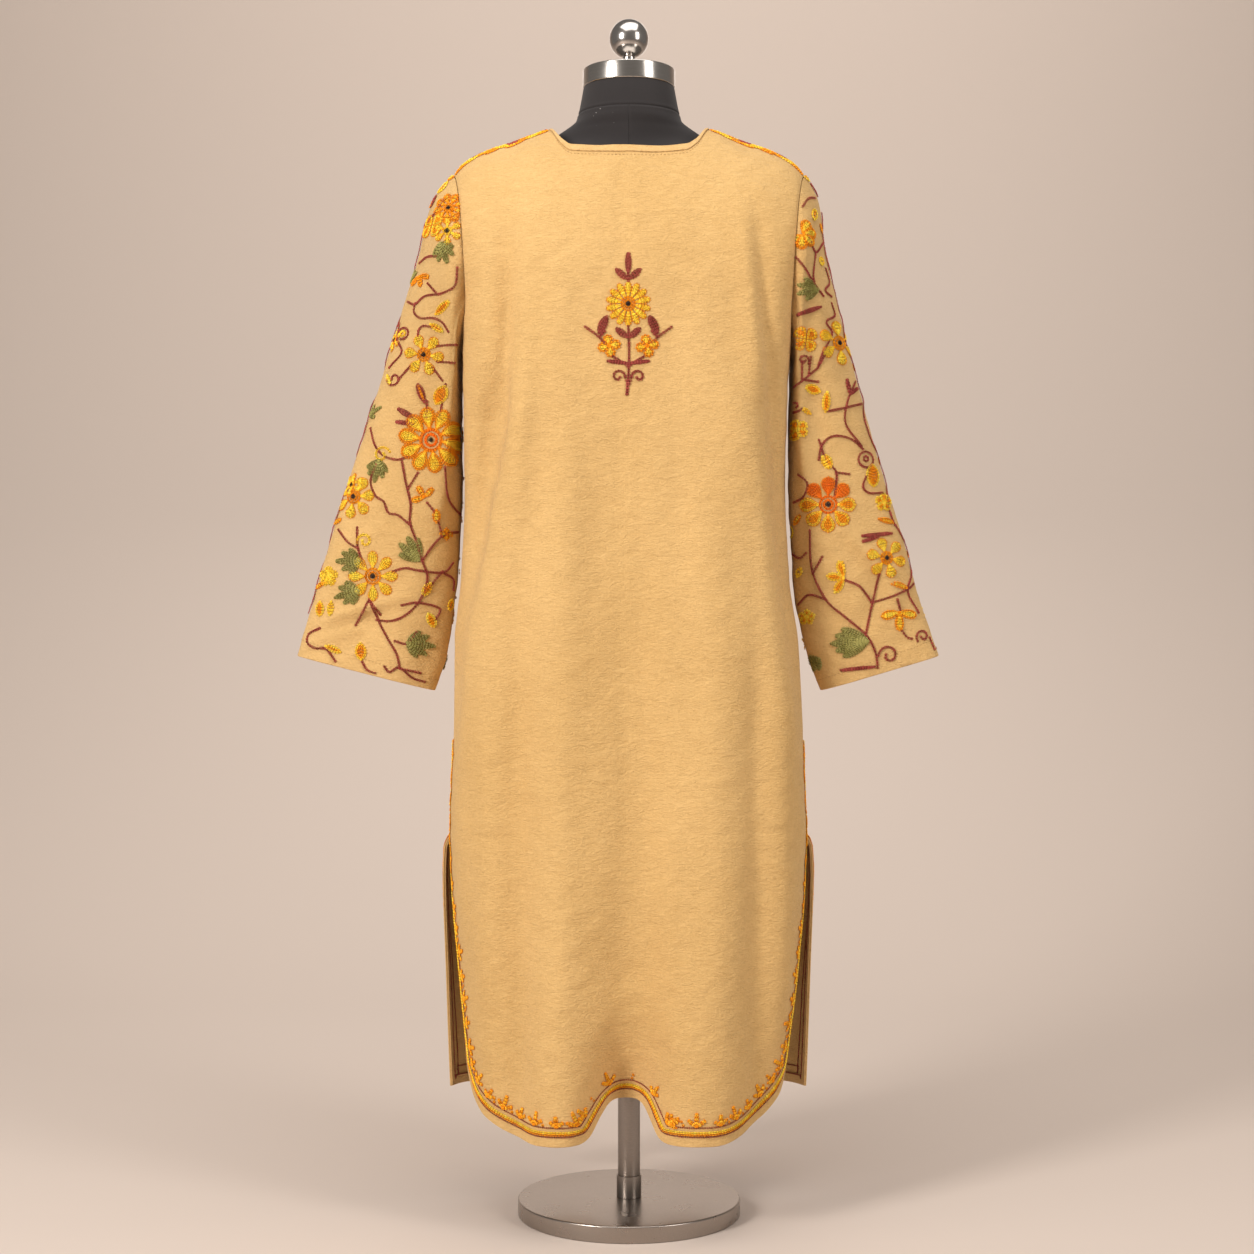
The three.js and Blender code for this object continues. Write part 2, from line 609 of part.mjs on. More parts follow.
const backGrid = panelGrid(BACK, BACK_COLUMNS, SKIRT_ROWS.back);
const frontGrid = panelGrid(FRONT, FRONT_COLUMNS, SKIRT_ROWS.front);
for (const [name, grid] of [["back", backGrid], ["front", frontGrid]]) {
  const lastColumn = grid.places.length - 2;
  const lastRow = grid.rows.length - 2;
  const slitRow = grid.rows.findIndex((r) => r.level === SLIT_TOP);
  const atHem = (i, j) => i === 0 || (i < slitRow && (j === 0 || j === lastColumn));
  const atNeck = (i, j) => i === lastRow && Math.abs(grid.places[j] + grid.places[j + 1]) / 2 < NECK_SIDE;
  add(`${name}_panel`, wall(grid, -CLOTH, 0), wool);
  add(`${name}_neck_band`, wall(grid, BAND_GAP, BAND_GAP + BAND, atNeck), woolBand);
  add(`${name}_hem_turn_up`, wall(grid, -CLOTH - SEAM - BAND, -CLOTH - SEAM, atHem), woolBand);
}
for (const [name, side] of [["left", 1], ["right", -1]]) {
  const grid = sleeveGrid(backGrid, frontGrid, side);
  const lastRing = grid.points.length - 2;
  add(`${name}_sleeve`, wall(grid, -CLOTH, 0), wool);
  const atCuff = (i) => i === lastRing;
  add(`${name}_cuff_turn_up`, wall(grid, -CLOTH - SEAM - BAND, -CLOTH - SEAM, atCuff), woolBand);
}
add("form_torso", formGeometry(), formCover);
add("neck_cap", turned(capOutline(), 48), steel);
add("ball_finial", turned(finialOutline(), 32), steel);
add("pole", turned(poleOutline(), 28), steel);
add("pole_socket", turned(socketOutline(), 32), steel);
add("base_plate", turned(baseOutline(), 56), steel);

export default pheran;
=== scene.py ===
# A long woollen pheran on its dress form: the surfaces, the sewing and the wool embroidery round the solids.
# The garment's front faces -Y and the wearer's left is +X. Sizes are in millimetres until a mesh is made.
import math

import bpy
import numpy as np
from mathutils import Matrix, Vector
from mathutils.bvhtree import BVHTree


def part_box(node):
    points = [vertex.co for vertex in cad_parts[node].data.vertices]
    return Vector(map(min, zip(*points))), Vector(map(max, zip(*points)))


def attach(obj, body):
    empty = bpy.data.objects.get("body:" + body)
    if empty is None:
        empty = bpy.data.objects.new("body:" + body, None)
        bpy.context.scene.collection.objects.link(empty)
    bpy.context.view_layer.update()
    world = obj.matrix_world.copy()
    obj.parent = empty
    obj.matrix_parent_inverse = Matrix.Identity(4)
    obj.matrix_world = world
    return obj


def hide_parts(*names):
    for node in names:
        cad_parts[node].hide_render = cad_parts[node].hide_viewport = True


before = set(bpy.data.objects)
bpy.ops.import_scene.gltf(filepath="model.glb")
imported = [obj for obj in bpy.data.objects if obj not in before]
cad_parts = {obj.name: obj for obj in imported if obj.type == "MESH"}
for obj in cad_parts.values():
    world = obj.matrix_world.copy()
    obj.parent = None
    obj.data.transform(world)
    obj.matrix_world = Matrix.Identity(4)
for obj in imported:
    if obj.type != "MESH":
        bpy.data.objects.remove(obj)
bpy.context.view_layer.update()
MM = 0.001


def add_object(name, data):
    """An object that holds this data, in the scene's collection."""
    made = bpy.data.objects.new(name, data)
    bpy.context.collection.objects.link(made)
    return made


# ---------------------------------------------------------------- camera
# Level with the wearer's seat and behind the back, looking almost straight ahead.
LENS = 61.5
LOOK_UP = 0.17
EYE = (0.0025, 2.707, 0.7316)
camera_data = bpy.data.cameras.new("camera")
camera_data.sensor_width = 36
camera_data.lens = LENS
camera = add_object("camera", camera_data)
camera.location = EYE
camera.rotation_euler = (math.radians(90 + LOOK_UP), 0, math.radians(180))
bpy.context.scene.camera = camera
bpy.context.scene.view_settings.view_transform = "Standard"


# ---------------------------------------------------------------- studio
# A seamless paper sweep: it lies flat under the stand and curves up far behind it. Two tall soft lights
# stand left and right of the camera and one hangs overhead. A weak one fills in from beyond the garment,
# and a wide one washes the paper behind it.
def add_node(tree, kind, inputs=None, **settings):
    """A new node with its settings, and its inputs set to values or joined to other nodes' outputs."""
    made = tree.nodes.new(kind)
    for name, value in settings.items():
        setattr(made, name, value)
    for key, value in (inputs or {}).items():
        if isinstance(value, bpy.types.NodeSocket):
            tree.links.new(value, made.inputs[key])
        else:
            made.inputs[key].default_value = value
    return made


def new_material(name, roughness, **sockets):
    """A material, its node tree and its surface shader, with the shader's own sockets set."""
    material = bpy.data.materials.new(name)
    material.use_nodes = True
    tree = material.node_tree
    shader = tree.nodes["Principled BSDF"]
    shader.inputs["Roughness"].default_value = roughness
    for key, value in sockets.items():
        shader.inputs[key.replace("_", " ")].default_value = value
    return material, tree, shader


def feed(tree, shader, **sockets):
    """Joins the shader's own sockets to what drives them."""
    for key, source in sockets.items():
        tree.links.new(source, shader.inputs[key.replace("_", " ")])


def object_place(tree):
    return add_node(tree, "ShaderNodeTexCoord").outputs["Object"]


def calc(tree, operation, a, b=0.0):
    return add_node(tree, "ShaderNodeMath", {0: a, 1: b}, operation=operation).outputs[0]


def noise(tree, place, scale, detail=2.0):
    """Cloudy noise at a scale."""
    inputs = {"Vector": place, "Scale": scale, "Detail": detail}
    return add_node(tree, "ShaderNodeTexNoise", inputs).outputs["Fac"]


def stretched(tree, place, stretch, detail, swirl=0.0):
    """Noise that is finer along some axes than along others."""
    place = add_node(tree, "ShaderNodeMapping", {"Vector": place, "Scale": stretch}).outputs[0]
    inputs = {"Vector": place, "Scale": 1.0, "Detail": detail, "Distortion": swirl}
    return add_node(tree, "ShaderNodeTexNoise", inputs).outputs["Fac"]


def spread(tree, amount, low=0.0, high=1.0, to_low=0.0, to_high=1.0):
    """An amount between low and high, moved to the same share between two others."""
    inputs = {"Value": amount, "From Min": low, "From Max": high, "To Min": to_low, "To Max": to_high}
    return add_node(tree, "ShaderNodeMapRange", inputs).outputs[0]


def ramp(tree, amount, dark, light, low=0.0, high=1.0):
    """A blend from one colour to another as an amount goes from low to high."""
    made = add_node(tree, "ShaderNodeValToRGB", {"Fac": amount})
    for stop, position, colour in zip(made.color_ramp.elements, (low, high), (dark, light)):
        stop.position, stop.color = position, (*colour, 1)
    return made.outputs[0]


def bump(tree, height, distance, strength, **inputs):
    """Relief of a distance in metres."""
    inputs.update(Height=height, Distance=distance, Strength=strength)
    return add_node(tree, "ShaderNodeBump", inputs).outputs[0]


SWEEP = {"half_width": 6.0, "front": 4.5, "bend": -1.5, "radius": 2.6, "top": 4.2}
sweep_line = [(SWEEP["front"], 0.0), (SWEEP["bend"], 0.0)]
for k in range(1, 25):
    turn = math.pi / 2 * k / 24
    back, up = SWEEP["radius"] * math.sin(turn), SWEEP["radius"] * (1 - math.cos(turn))
    sweep_line.append((SWEEP["bend"] - back, up))
sweep_line.append((sweep_line[-1][0], SWEEP["top"]))
sweep_points = [(x, y, z) for y, z in sweep_line for x in (-SWEEP["half_width"], SWEEP["half_width"])]
sweep_faces = [(2 * k, 2 * k + 1, 2 * k + 3, 2 * k + 2) for k in range(len(sweep_line) - 1)]
sweep_mesh = bpy.data.meshes.new("paper_sweep")
sweep_mesh.from_pydata(sweep_points, [], sweep_faces)
sweep_mesh.shade_smooth()
sweep = add_object("paper_sweep", sweep_mesh)
paper, tree, shader = new_material("warm grey paper", 0.9)
# Painted shade: the paper's colour runs from lighter on the floor to darker up the curve behind the stand.
height = add_node(tree, "ShaderNodeSeparateXYZ", {0: object_place(tree)}).outputs["Z"]
rise = spread(tree, height, high=1.2)
feed(tree, shader, Base_Color=ramp(tree, rise, (0.66, 0.56, 0.492), (0.62, 0.526, 0.462)))
sweep_mesh.materials.append(paper)

world = bpy.data.worlds.new("studio")
world.use_nodes = True
surround = world.node_tree.nodes["Background"].inputs
surround["Color"].default_value = (0.86, 0.80, 0.74, 1)
surround["Strength"].default_value = 0.24
bpy.context.scene.world = world


LAMP_COLOUR = (1.0, 0.965, 0.925)


def soft_light(name, place, aim, size, power):
    """A rectangular soft light at a place, turned to face another."""
    data = bpy.data.lights.new(name, "AREA")
    data.shape = "RECTANGLE"
    data.size, data.size_y = size
    data.energy = power
    data.color = LAMP_COLOUR
    light = add_object(name, data)
    light.location = place
    light.rotation_euler = (Vector(aim) - Vector(place)).to_track_quat("-Z", "Y").to_euler()


soft_light("key", (2.4, 2.5, 1.9), (0, 0, 0.85), (0.8, 1.4), 107)
soft_light("fill", (-2.3, 1.9, 1.9), (0, 0, 0.85), (0.8, 1.7), 36)
soft_light("overhead", (-0.1, 0.9, 3.2), (0, 0.6, 0), (2.6, 2.0), 45)
soft_light("beyond", (0.0, -3.0, 2.3), (0, 0, 0.8), (2.0, 1.6), 12)
soft_light("wash", (-0.2, -1.4, 3.9), (0, -4.1, 2.4), (3.4, 0.9), 68)


# ---------------------------------------------------------------- base plate
# A thick round plate of brushed stainless steel, turned on a lathe, with its edges just broken.
# It stands flat on the floor and its weight keeps the form upright.
def mesh_piece(name, vertices, faces, material, uvs=None, sharp=35):
    """An object made from vertices in millimetres and faces, smooth but for its sharp edges."""
    mesh = bpy.data.meshes.new(name)
    mesh.from_pydata((np.asarray(vertices, float) * MM).tolist(), [], faces)
    if uvs is not None:
        layer = mesh.uv_layers.new(name="cut")
        layer.uv.foreach_set("vector", np.asarray(uvs, np.float32).ravel())
    mesh.shade_smooth()
    mesh.set_sharp_from_angle(angle=math.radians(sharp))
    mesh.materials.append(material)
    return add_object(name, mesh)


def turned(name, outline, sides, material, closed=False):
    """A turned piece from its (radius, height) outline, bottom to top, or round a closed section."""
    vertices = []
    rings = []
    for radius, z in outline:
        start = len(vertices)
        count = sides if radius > 0 else 1
        for k in range(count):
            angle = 2 * math.pi * k / sides
            vertices.append((radius * math.cos(angle), radius * math.sin(angle), z))
        rings.append([start + k % count for k in range(sides)])
    pairs = list(zip(rings, rings[1:]))
    if closed:
        pairs.append((rings[-1], rings[0]))
    faces = []
    for low, high in pairs:
        for k in range(sides):
            n = (k + 1) % sides
            faces.append(list(dict.fromkeys([low[k], low[n], high[n], high[k]])))
    return mesh_piece(name, vertices, faces, material)


def quarter(radius, z, bend, first, last):
    """Points of a rounded edge: an arc of radius bend round (radius, z) between two angles in degrees."""
    angles = [math.radians(first + (last - first) * k / 6) for k in range(7)]
    return [(radius + bend * math.cos(a), z + bend * math.sin(a)) for a in angles]


def own(piece, slot, *nodes):
    """The piece stands for its solids, which it hides, and stays with the object; slot is not used."""
    if nodes:
        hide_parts(*nodes)
    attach(piece, "root")
    return piece


def brushed_steel(name, colour, roughness, stretch, depth):
    """Stainless steel with fine scratches that run one way, and slightly uneven shine."""
    material, tree, shader = new_material(name, roughness, Metallic=1.0)
    place = object_place(tree)
    scratch = stretched(tree, place, stretch, 5.0)
    tone = ramp(tree, scratch, [c * 0.82 for c in colour], colour, 0.3, 0.7)
    shine = spread(tree, noise(tree, place, 30.0, 3.0), to_low=roughness * 0.8, to_high=roughness * 1.25)
    feed(tree, shader, Base_Color=tone, Roughness=shine, Normal=bump(tree, scratch, depth, 0.5))
    return material


base_low, base_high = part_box("base_plate")
BASE_RADIUS = (base_high[0] - base_low[0]) / 2 / MM
BASE_TOP = base_high[2] / MM
BASE_EDGE = 2.0
ring = BASE_RADIUS - BASE_EDGE
base_steel = brushed_steel("brushed steel, plate", (0.42, 0.37, 0.33), 0.28, (900, 900, 2500), 0.00003)
base_outline = [(0, 0), (ring, 0), *quarter(ring, BASE_EDGE, BASE_EDGE, -90, 0)]
base_outline += [*quarter(ring, BASE_TOP - BASE_EDGE, BASE_EDGE, 0, 90), (60, BASE_TOP), (0, BASE_TOP)]
own(turned("stand_base", base_outline, 160, base_steel), "steel", "base_plate")

# ---------------------------------------------------------------- pole and its socket
# A plain steel tube as tall as the garment's knee to seat, and the short collar that holds it on the plate.
# The collar is a ring with rounded lips, pressed over a stud in the plate.
pole_low, pole_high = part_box("pole")
POLE_RADIUS = (pole_high[0] - pole_low[0]) / 2 / MM
POLE_FOOT, POLE_TOP = pole_low[2] / MM, pole_high[2] / MM
pole_steel = brushed_steel("brushed steel, tube", (0.33, 0.29, 0.26), 0.30, (260, 260, 3200), 0.00004)
pole_outline = [(0, POLE_FOOT), (POLE_RADIUS, POLE_FOOT), (POLE_RADIUS, POLE_TOP), (0, POLE_TOP)]
own(turned("stand_pole", pole_outline, 64, pole_steel), "steel", "pole")

SOCKET_RADIUS = 15.6
SOCKET_HOLE = POLE_RADIUS + 0.3
SOCKET_LIP = 0.6
socket_low, socket_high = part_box("pole_socket")
lip = SOCKET_RADIUS - SOCKET_LIP
socket_foot, socket_top = socket_low[2] / MM, socket_high[2] / MM
socket_outline = [(SOCKET_HOLE, socket_foot), (SOCKET_RADIUS, socket_foot)]
socket_outline += [*quarter(lip, socket_top - SOCKET_LIP, SOCKET_LIP, 0, 90), (SOCKET_HOLE, socket_top)]
own(turned("stand_socket", socket_outline, 64, pole_steel, closed=True), "steel", "pole_socket")


# ---------------------------------------------------------------- dress form
# A limbless torso in padded plastic under a tight black jersey cover, which is sewn together down the middle
# of the back and front, down both sides and round the foot of the neck. Every seam lies in a shallow groove.
def table(names, *rows):
    """Named columns from the rows of a table."""
    return dict(zip(names.split(), np.array(rows, float).T))


def mix(a, b, share):
    return a + (b - a) * share


def smooth(value):
    q = np.clip(value, 0, 1)
    return q * q * (3 - 2 * q)


def unit(ways):
    """The same directions, each one unit long."""
    return ways / np.linalg.norm(ways, axis=-1, keepdims=True)


def rows_of(rows):
    """A table's rows again, one at a time."""
    return zip(*rows.values())


def read(rows, key, value, column):
    """A table's column at values of its key column, smoothly and without overshoot."""
    at, height = rows[key], rows[column]
    v = np.clip(value, at[0], at[-1])
    span = np.diff(at)
    slope = np.diff(height) / span
    product = slope[:-1] * slope[1:]
    total = np.where(product > 0, slope[:-1] + slope[1:], 1)
    inner = np.where(product > 0, 2 * product / total, 0)
    tangent = np.concatenate([slope[:1], inner, slope[-1:]])
    i = np.clip(np.searchsorted(at, v, side="left") - 1, 0, len(at) - 2)
    q = (v - at[i]) / span[i]
    lead = q * (1 - q) ** 2 * tangent[i] * span[i]
    trail = q * q * (1 - q) * tangent[i + 1] * span[i]
    return mix(height[i], height[i + 1], q * q * (3 - 2 * q)) + lead - trail


FORM = table(
    "z half back front square",
    (700, 160, 92, 82, 2.3),
    (716, 170, 100, 88, 2.3),
    (830, 174, 108, 94, 2.3),
    (920, 156, 98, 92, 2.3),
    (1000, 142, 90, 94, 2.3),
    (1080, 150, 98, 108, 2.3),
    (1150, 162, 105, 116, 2.4),
    (1210, 170, 102, 108, 2.3),
    (1262, 177, 92, 86, 2.1),
    (1296, 182, 80, 72, 1.8),
    (1316, 178, 70, 63, 1.5),
    (1332, 152, 61, 55, 1.35),
    (1346, 117, 58, 53, 1.35),
    (1364, 85, 59, 56, 1.6),
    (1377, 67, 61, 60, 2),
    (1391, 63, 60, 60, 2),
    (1406, 60, 59, 59, 2),
    (1420, 57.5, 57.5, 57.5, 2),
)
NECK_SEAM = 1386
SEAM_DEPTH = 0.8
SEAM_WIDTH = 1.0
SEAM_OFFSETS = (-5, -3.4, -2.2, -1.3, -0.6, 0, 0.6, 1.3, 2.2, 3.4, 5)  # close columns beside a seam


def seam_groove(distance):
    """A groove where two edges are turned in, with the cloth standing a little proud on both sides."""
    swell = 0.25 * np.exp(-(((np.abs(distance) - 2.6) / 1.3) ** 2))
    return swell - SEAM_DEPTH * np.exp(-((distance / SEAM_WIDTH) ** 2))


def form_levels():
    """Heights of the form's sections, closest at the neck, which is what shows."""
    waist = np.linspace(716, 1310, 28)
    neck = np.linspace(1318, 1420, 52)
    neck = neck[np.abs(neck - NECK_SEAM) > 5.5]
    seam = NECK_SEAM + np.array(SEAM_OFFSETS)
    return np.unique(np.concatenate([[700, 702, 706, 711], waist, neck, seam]))


def form_angles():
    """Directions round the form, with close columns at its four upright seams."""
    even = np.linspace(0, 2 * np.pi, 112, endpoint=False)
    reach = 6 / FORM["half"][-1]
    quarters = np.arange(4) * np.pi / 2
    gap = np.abs((even[:, None] - quarters + np.pi) % (2 * np.pi) - np.pi).min(1)
    seams = quarters[:, None] + np.array(SEAM_OFFSETS) / FORM["half"][-1]
    return np.sort(np.concatenate([even[gap > reach], seams.ravel() % (2 * np.pi)]))


levels, angles = form_levels(), form_angles()
cosine, sine = np.cos(angles), np.sin(angles)
half, back, front, square = [
    read(FORM, "z", levels, column)[:, None] for column in ("half", "back", "front", "square")
]
form_x = half * np.sign(cosine) * np.abs(cosine) ** (2 / square)
form_y = np.where(sine > 0, back, front) * np.sign(sine) * np.abs(sine) ** (2 / square)
turn = angles[:, None] - np.arange(4) * np.pi / 2
nearest = np.abs((turn + np.pi) % (2 * np.pi) - np.pi).min(1) * FORM["half"][-1]
below_neck = 1 - smooth((levels - NECK_SEAM + 2) / 2)[:, None]
relief = seam_groove(nearest) * below_neck + seam_groove(levels - NECK_SEAM)[:, None]
reach = np.hypot(form_x, form_y)
swollen = 1 + relief / reach
form_points = np.stack([form_x * swollen, form_y * swollen, np.broadcast_to(levels[:, None], reach.shape)], -1)
rows, sides = reach.shape
number = np.arange(rows * sides).reshape(rows, sides)
right = np.roll(number, -1, 1)
form_faces = np.stack([number[:-1], right[:-1], right[1:], number[1:]], -1).reshape(-1, 4).tolist()
form_faces += [number[0, ::-1].tolist(), number[-1].tolist()]

jersey, tree, shader = new_material("black jersey", 0.9, Sheen_Weight=0.12, Sheen_Roughness=0.5)
place = object_place(tree)
KNIT_PITCH = 1.3 * MM
knit = add_node(tree, "ShaderNodeVectorMath", {0: place, 1: (1 / KNIT_PITCH,) * 3}, operation="MULTIPLY")
loops = add_node(tree, "ShaderNodeTexWave", {"Vector": knit.outputs[0], "Scale": 0.3, "Distortion": 3.0})
loops.inputs["Detail"].default_value = 2.0
shade = ramp(tree, noise(tree, place, 22.0, 4.0), (0.013, 0.0100, 0.0103), (0.022, 0.0175, 0.018))
lint = add_node(tree, "ShaderNodeTexVoronoi", {"Vector": place, "Scale": 95.0}).outputs["Distance"]
few = spread(tree, noise(tree, place, 14.0), 0.62, 0.66)
dust = calc(tree, "MULTIPLY", spread(tree, lint, 0.075, 0.045), few)
tone = add_node(tree, "ShaderNodeMix", {0: dust, 6: shade, 7: (0.30, 0.28, 0.27, 1)}, data_type="RGBA")
feed(tree, shader, Base_Color=tone.outputs[2], Normal=bump(tree, loops.outputs["Fac"], 0.0003, 0.35))
dress_form = mesh_piece("dress_form", form_points.reshape(-1, 3), form_faces, jersey, sharp=60)
own(dress_form, "form_cover", "form_torso")

# ---------------------------------------------------------------- neck cap and ball
# A spun steel lid that closes the neck, and the polished ball screwed into it, by which the form is lifted.
# The lid's side is brushed round and round, and its crown rises to a small post under the ball.
CAP = {"radius": 58.2, "bottom": 1420.3, "top": 1443.0, "edge": 1.6, "dome": 6.0, "post": 9.0}
BALL = {"radius": 24.8, "middle": 1483.0, "stem": 8.0}
cap_steel = brushed_steel("brushed steel, lid", (0.60, 0.56, 0.52), 0.20, (40, 40, 3500), 0.00002)
flat = CAP["radius"] - CAP["edge"]
cap_outline = [(0, CAP["bottom"]), (flat, CAP["bottom"])]
cap_outline += quarter(flat, CAP["bottom"] + CAP["edge"], CAP["edge"], -90, 0)[1:]
cap_outline += quarter(flat, CAP["top"] - CAP["edge"], CAP["edge"], 0, 90)
for k in range(1, 9):
    share = k / 8
    crown = CAP["dome"] * math.sin(share * math.pi / 2)
    cap_outline.append((mix(flat, CAP["post"], share), CAP["top"] + crown))
cap_outline.append((0, CAP["top"] + CAP["dome"]))
own(turned("form_neck_cap", cap_outline, 128, cap_steel), "steel", "neck_cap")

polished, tree, shader = new_material("polished steel", 0.2, Metallic=1.0)
haze = noise(tree, object_place(tree), 60.0, 4.0)
tint = ramp(tree, haze, (0.50, 0.47, 0.44), (0.62, 0.58, 0.55))
feed(tree, shader, Base_Color=tint, Roughness=spread(tree, haze, to_low=0.13, to_high=0.24))
ball_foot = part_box("ball_finial")[0][2] / MM
first = math.asin(BALL["stem"] / BALL["radius"])
ball_outline = [(0, ball_foot), (BALL["stem"] + 2, ball_foot), (BALL["stem"] + 2, ball_foot + 1.5)]
ball_outline += [(BALL["stem"], ball_foot + 4)]
for k in range(48):
    turn = mix(first, math.pi, k / 48)
    ball_outline.append((BALL["radius"] * math.sin(turn), BALL["middle"] - BALL["radius"] * math.cos(turn)))
ball_outline.append((0, BALL["middle"] + BALL["radius"]))
own(turned("form_ball", ball_outline, 96, polished), "polished_steel", "ball_finial")

# ---------------------------------------------------------------- back panel
# One length of milled camel-coloured wool, cut whole from the hem to the shoulders, with slit sides, rounded
# bottom corners and a curved cut-out in the middle of the hem. It hangs from the form's shoulders.
CLOTH = 2.2  # thickness of the wool
BAND = 1.2  # thickness of one layer sewn on top
SEAM = 0.3  # gap between two panels at a seam
HEM, SLIT_TOP, UNDERARM, CHEST = 120, 480, 1090, 1150
ARMHOLE_DEPTH = 66
NECK_SIDE = 0.44  # share of a panel's top edge that is neckline
TURN_UP = 13
NECK_BAND = 11
NOTCH = {"rise": 42, "middle": 2, "left": 37, "right": 32}
CORNER = {"across": 128, "up": 88, "power": 1.75}
FRONT_RISE = 28
SIDE_CALM = 40  # folds die out over this depth before a side seam
HEM_FADE = 420
SHOULDER_SPREAD = 38
TURNED_EDGE = 0.952  # where a panel's turned side edge begins, as a share of its half-width
ARC_STEPS = 96

SIDE = table(
    "z half shift",
    (480, 223, 1),
    (600, 220, 1),
    (720, 216, 3),
    (800, 207, 5),
    (920, 202, 5),
    (1040, 203, 4),
    (1090, 205, 3),
    (1150, 209, 0),
)
SHOULDER_EDGE = (  # both panels' top edge from the neckline to the sleeve: s, x, z
    (NECK_SIDE, 101, 1366),
    (0.62, 141, 1352),
    (0.78, 177, 1339),
    (0.9, 204, 1325),
    (1, 226, 1306),
)
SHOULDER = table("x z", (0, 1384), (101, 1366), (141, 1352), (177, 1339), (204, 1325), (226, 1306))
FOLD_COLUMNS = "u0 z0 h0 u1 z1 h1 width fade"
CREASE_COLUMNS = "x0 z0 x1 z1 height width"

BACK = {
    "facing": 1,
    "skirt": table(
        "z half shift edge",
        (110, 201, 4, 62),
        (190, 204, 3, 58),
        (300, 212, 1, 42),
        (400, 219, 1, 20),
        (480, 223, 1, 0),
    ),
    "profile": table(
        "z depth square",
        (110, 146, 2.6),
        (300, 139, 2.8),
        (480, 132, 3.1),
        (720, 125, 3.3),
        (920, 121, 3.4),
        (1090, 119, 3.7),
        (1150, 117, 3.9),
    ),
    "top": table(
        "s x z",
        (0, 0, 1332),
        (0.2, 46, 1332),
        (0.31, 71, 1334),
        (0.36, 83, 1343),
        *SHOULDER_EDGE,
    ),
    "folds": table(
        FOLD_COLUMNS,
        (5, 110, -66, 2, 300, -12, 40, 70),  # the deep fold over the cut-out
        (92, 110, 13, 78, 420, 3, 44, 120),
        (-84, 110, 14, -72, 420, 3, 42, 120),
        (208, 640, 4, 138, 990, 7, 30, 55),
        (240, 640, -6, 184, 990, -14, 30, 50),
        (-206, 640, 4, -136, 1000, 6, 30, 55),
        (-238, 640, -6, -182, 1000, -13, 30, 50),
    ),
    # Small creases: where each starts and ends, and how far it stands out (or dips, below 0).
    "creases": table(
        CREASE_COLUMNS,
        (206, 500, 127, 493, 1.6, 7),  # pressed folds across the skirt
        (206, 487, 130, 482, -1.3, 7),
        (-150, 508, -208, 502, 1.5, 6),
        (-152, 496, -204, 492, -1.2, 7),
        (-124, 571, -177, 565, 1.1, 6),
        (-128, 560, -172, 556, -0.8, 7),
        (71, 452, -13, 436, 0.9, 8),
        (190, 575, 150, 600, 0.8, 8),
        (195, 1010, 167, 900, -1.4, 6),  # drape creases under the arms
        (207, 1000, 178, 905, 1.2, 7),
        (-196, 985, -170, 890, -1.2, 6),
        (-183, 980, -160, 880, 0.9, 8),
        (-6, 1000, -12, 60, -14.0, 36),  # long soft hollows and ridges down the skirt
        (80, 960, 84, -80, 8.0, 26),
        (-104, 960, -110, -80, 7.5, 27),
        (134, 880, 138, -40, -10.5, 17),
        (-156, 860, -158, -40, -8.0, 17),
        (172, 740, 176, -20, 4.0, 14),
        (-190, 700, -192, 40, 4.0, 14),
        (146, 1262, 166, 900, -13.0, 14),  # drag lines from the shoulder blades to the waist
        (164, 1040, 199, 760, -11.0, 13),
        (118, 1240, 142, 760, 5.0, 15),
        (-156, 1250, -196, 830, -8.0, 10),
        (-134, 1290, -174, 780, 6.5, 14),
        (92, 1240, 66, 700, 4.0, 24),
        (40, 1010, 30, 600, -3.5, 24),
        (-54, 1210, -64, 640, -4.0, 20),
        (-152, 1285, -184, 1262, 1.0, 6),  # small wrinkles near the shoulders
        (-160, 1268, -196, 1240, -1.0, 6),
        (-120, 1246, -92, 1252, 0.6, 6),
        (156, 1282, 186, 1256, 0.9, 6),
        (166, 1262, 198, 1232, -0.8, 6),
        (20, 1290, 6, 1215, -0.6, 9),
        (-34, 1306, -60, 1250, 0.6, 9),
        (58, 1300, 84, 1246, 0.5, 9),
        (150, 330, 176, 240, -1.0, 10),
        (-60, 1010, -84, 860, 0.7, 14),
        (84, 980, 70, 820, -0.7, 14),
    ),
}


def armhole_edge(z):
    """How far the armhole has opened at a level: a quarter ellipse from the underarm up to the chest."""
    q = np.clip((CHEST - z) / (CHEST - UNDERARM), 0, 1)
    return ARMHOLE_DEPTH * np.sqrt(1 - q * q)


def level_arc(panel, z):
    """A panel's level sections, from the centre line to the edge: superellipses cut off at the edge."""
    below = z < SLIT_TOP
    half = np.where(below, read(panel["skirt"], "z", z, "half"), read(SIDE, "z", z, "half"))
    shift = np.where(below, read(panel["skirt"], "z", z, "shift"), read(SIDE, "z", z, "shift"))
    edge = np.where(below, read(panel["skirt"], "z", z, "edge"), armhole_edge(z))
    depth = read(panel["profile"], "z", z, "depth")
    square = read(panel["profile"], "z", z, "square")
    end = np.arcsin((edge / depth) ** (square / 2))
    arc = {"half": half, "shift": shift, "depth": depth, "square": square, "end": end}
    angle = np.pi / 2 + (end - np.pi / 2)[..., None] * np.linspace(0, 1, ARC_STEPS + 1)
    x = half[..., None] * np.maximum(0, np.cos(angle)) ** (2 / square)[..., None]
    y = depth[..., None] * np.maximum(0, np.sin(angle)) ** (2 / square)[..., None]
    steps = np.hypot(np.diff(x), np.diff(y))
    arc["lengths"] = np.concatenate([np.zeros(z.shape + (1,)), np.cumsum(steps, -1)], -1)
    arc["length"] = arc["lengths"][..., -1]
    return arc


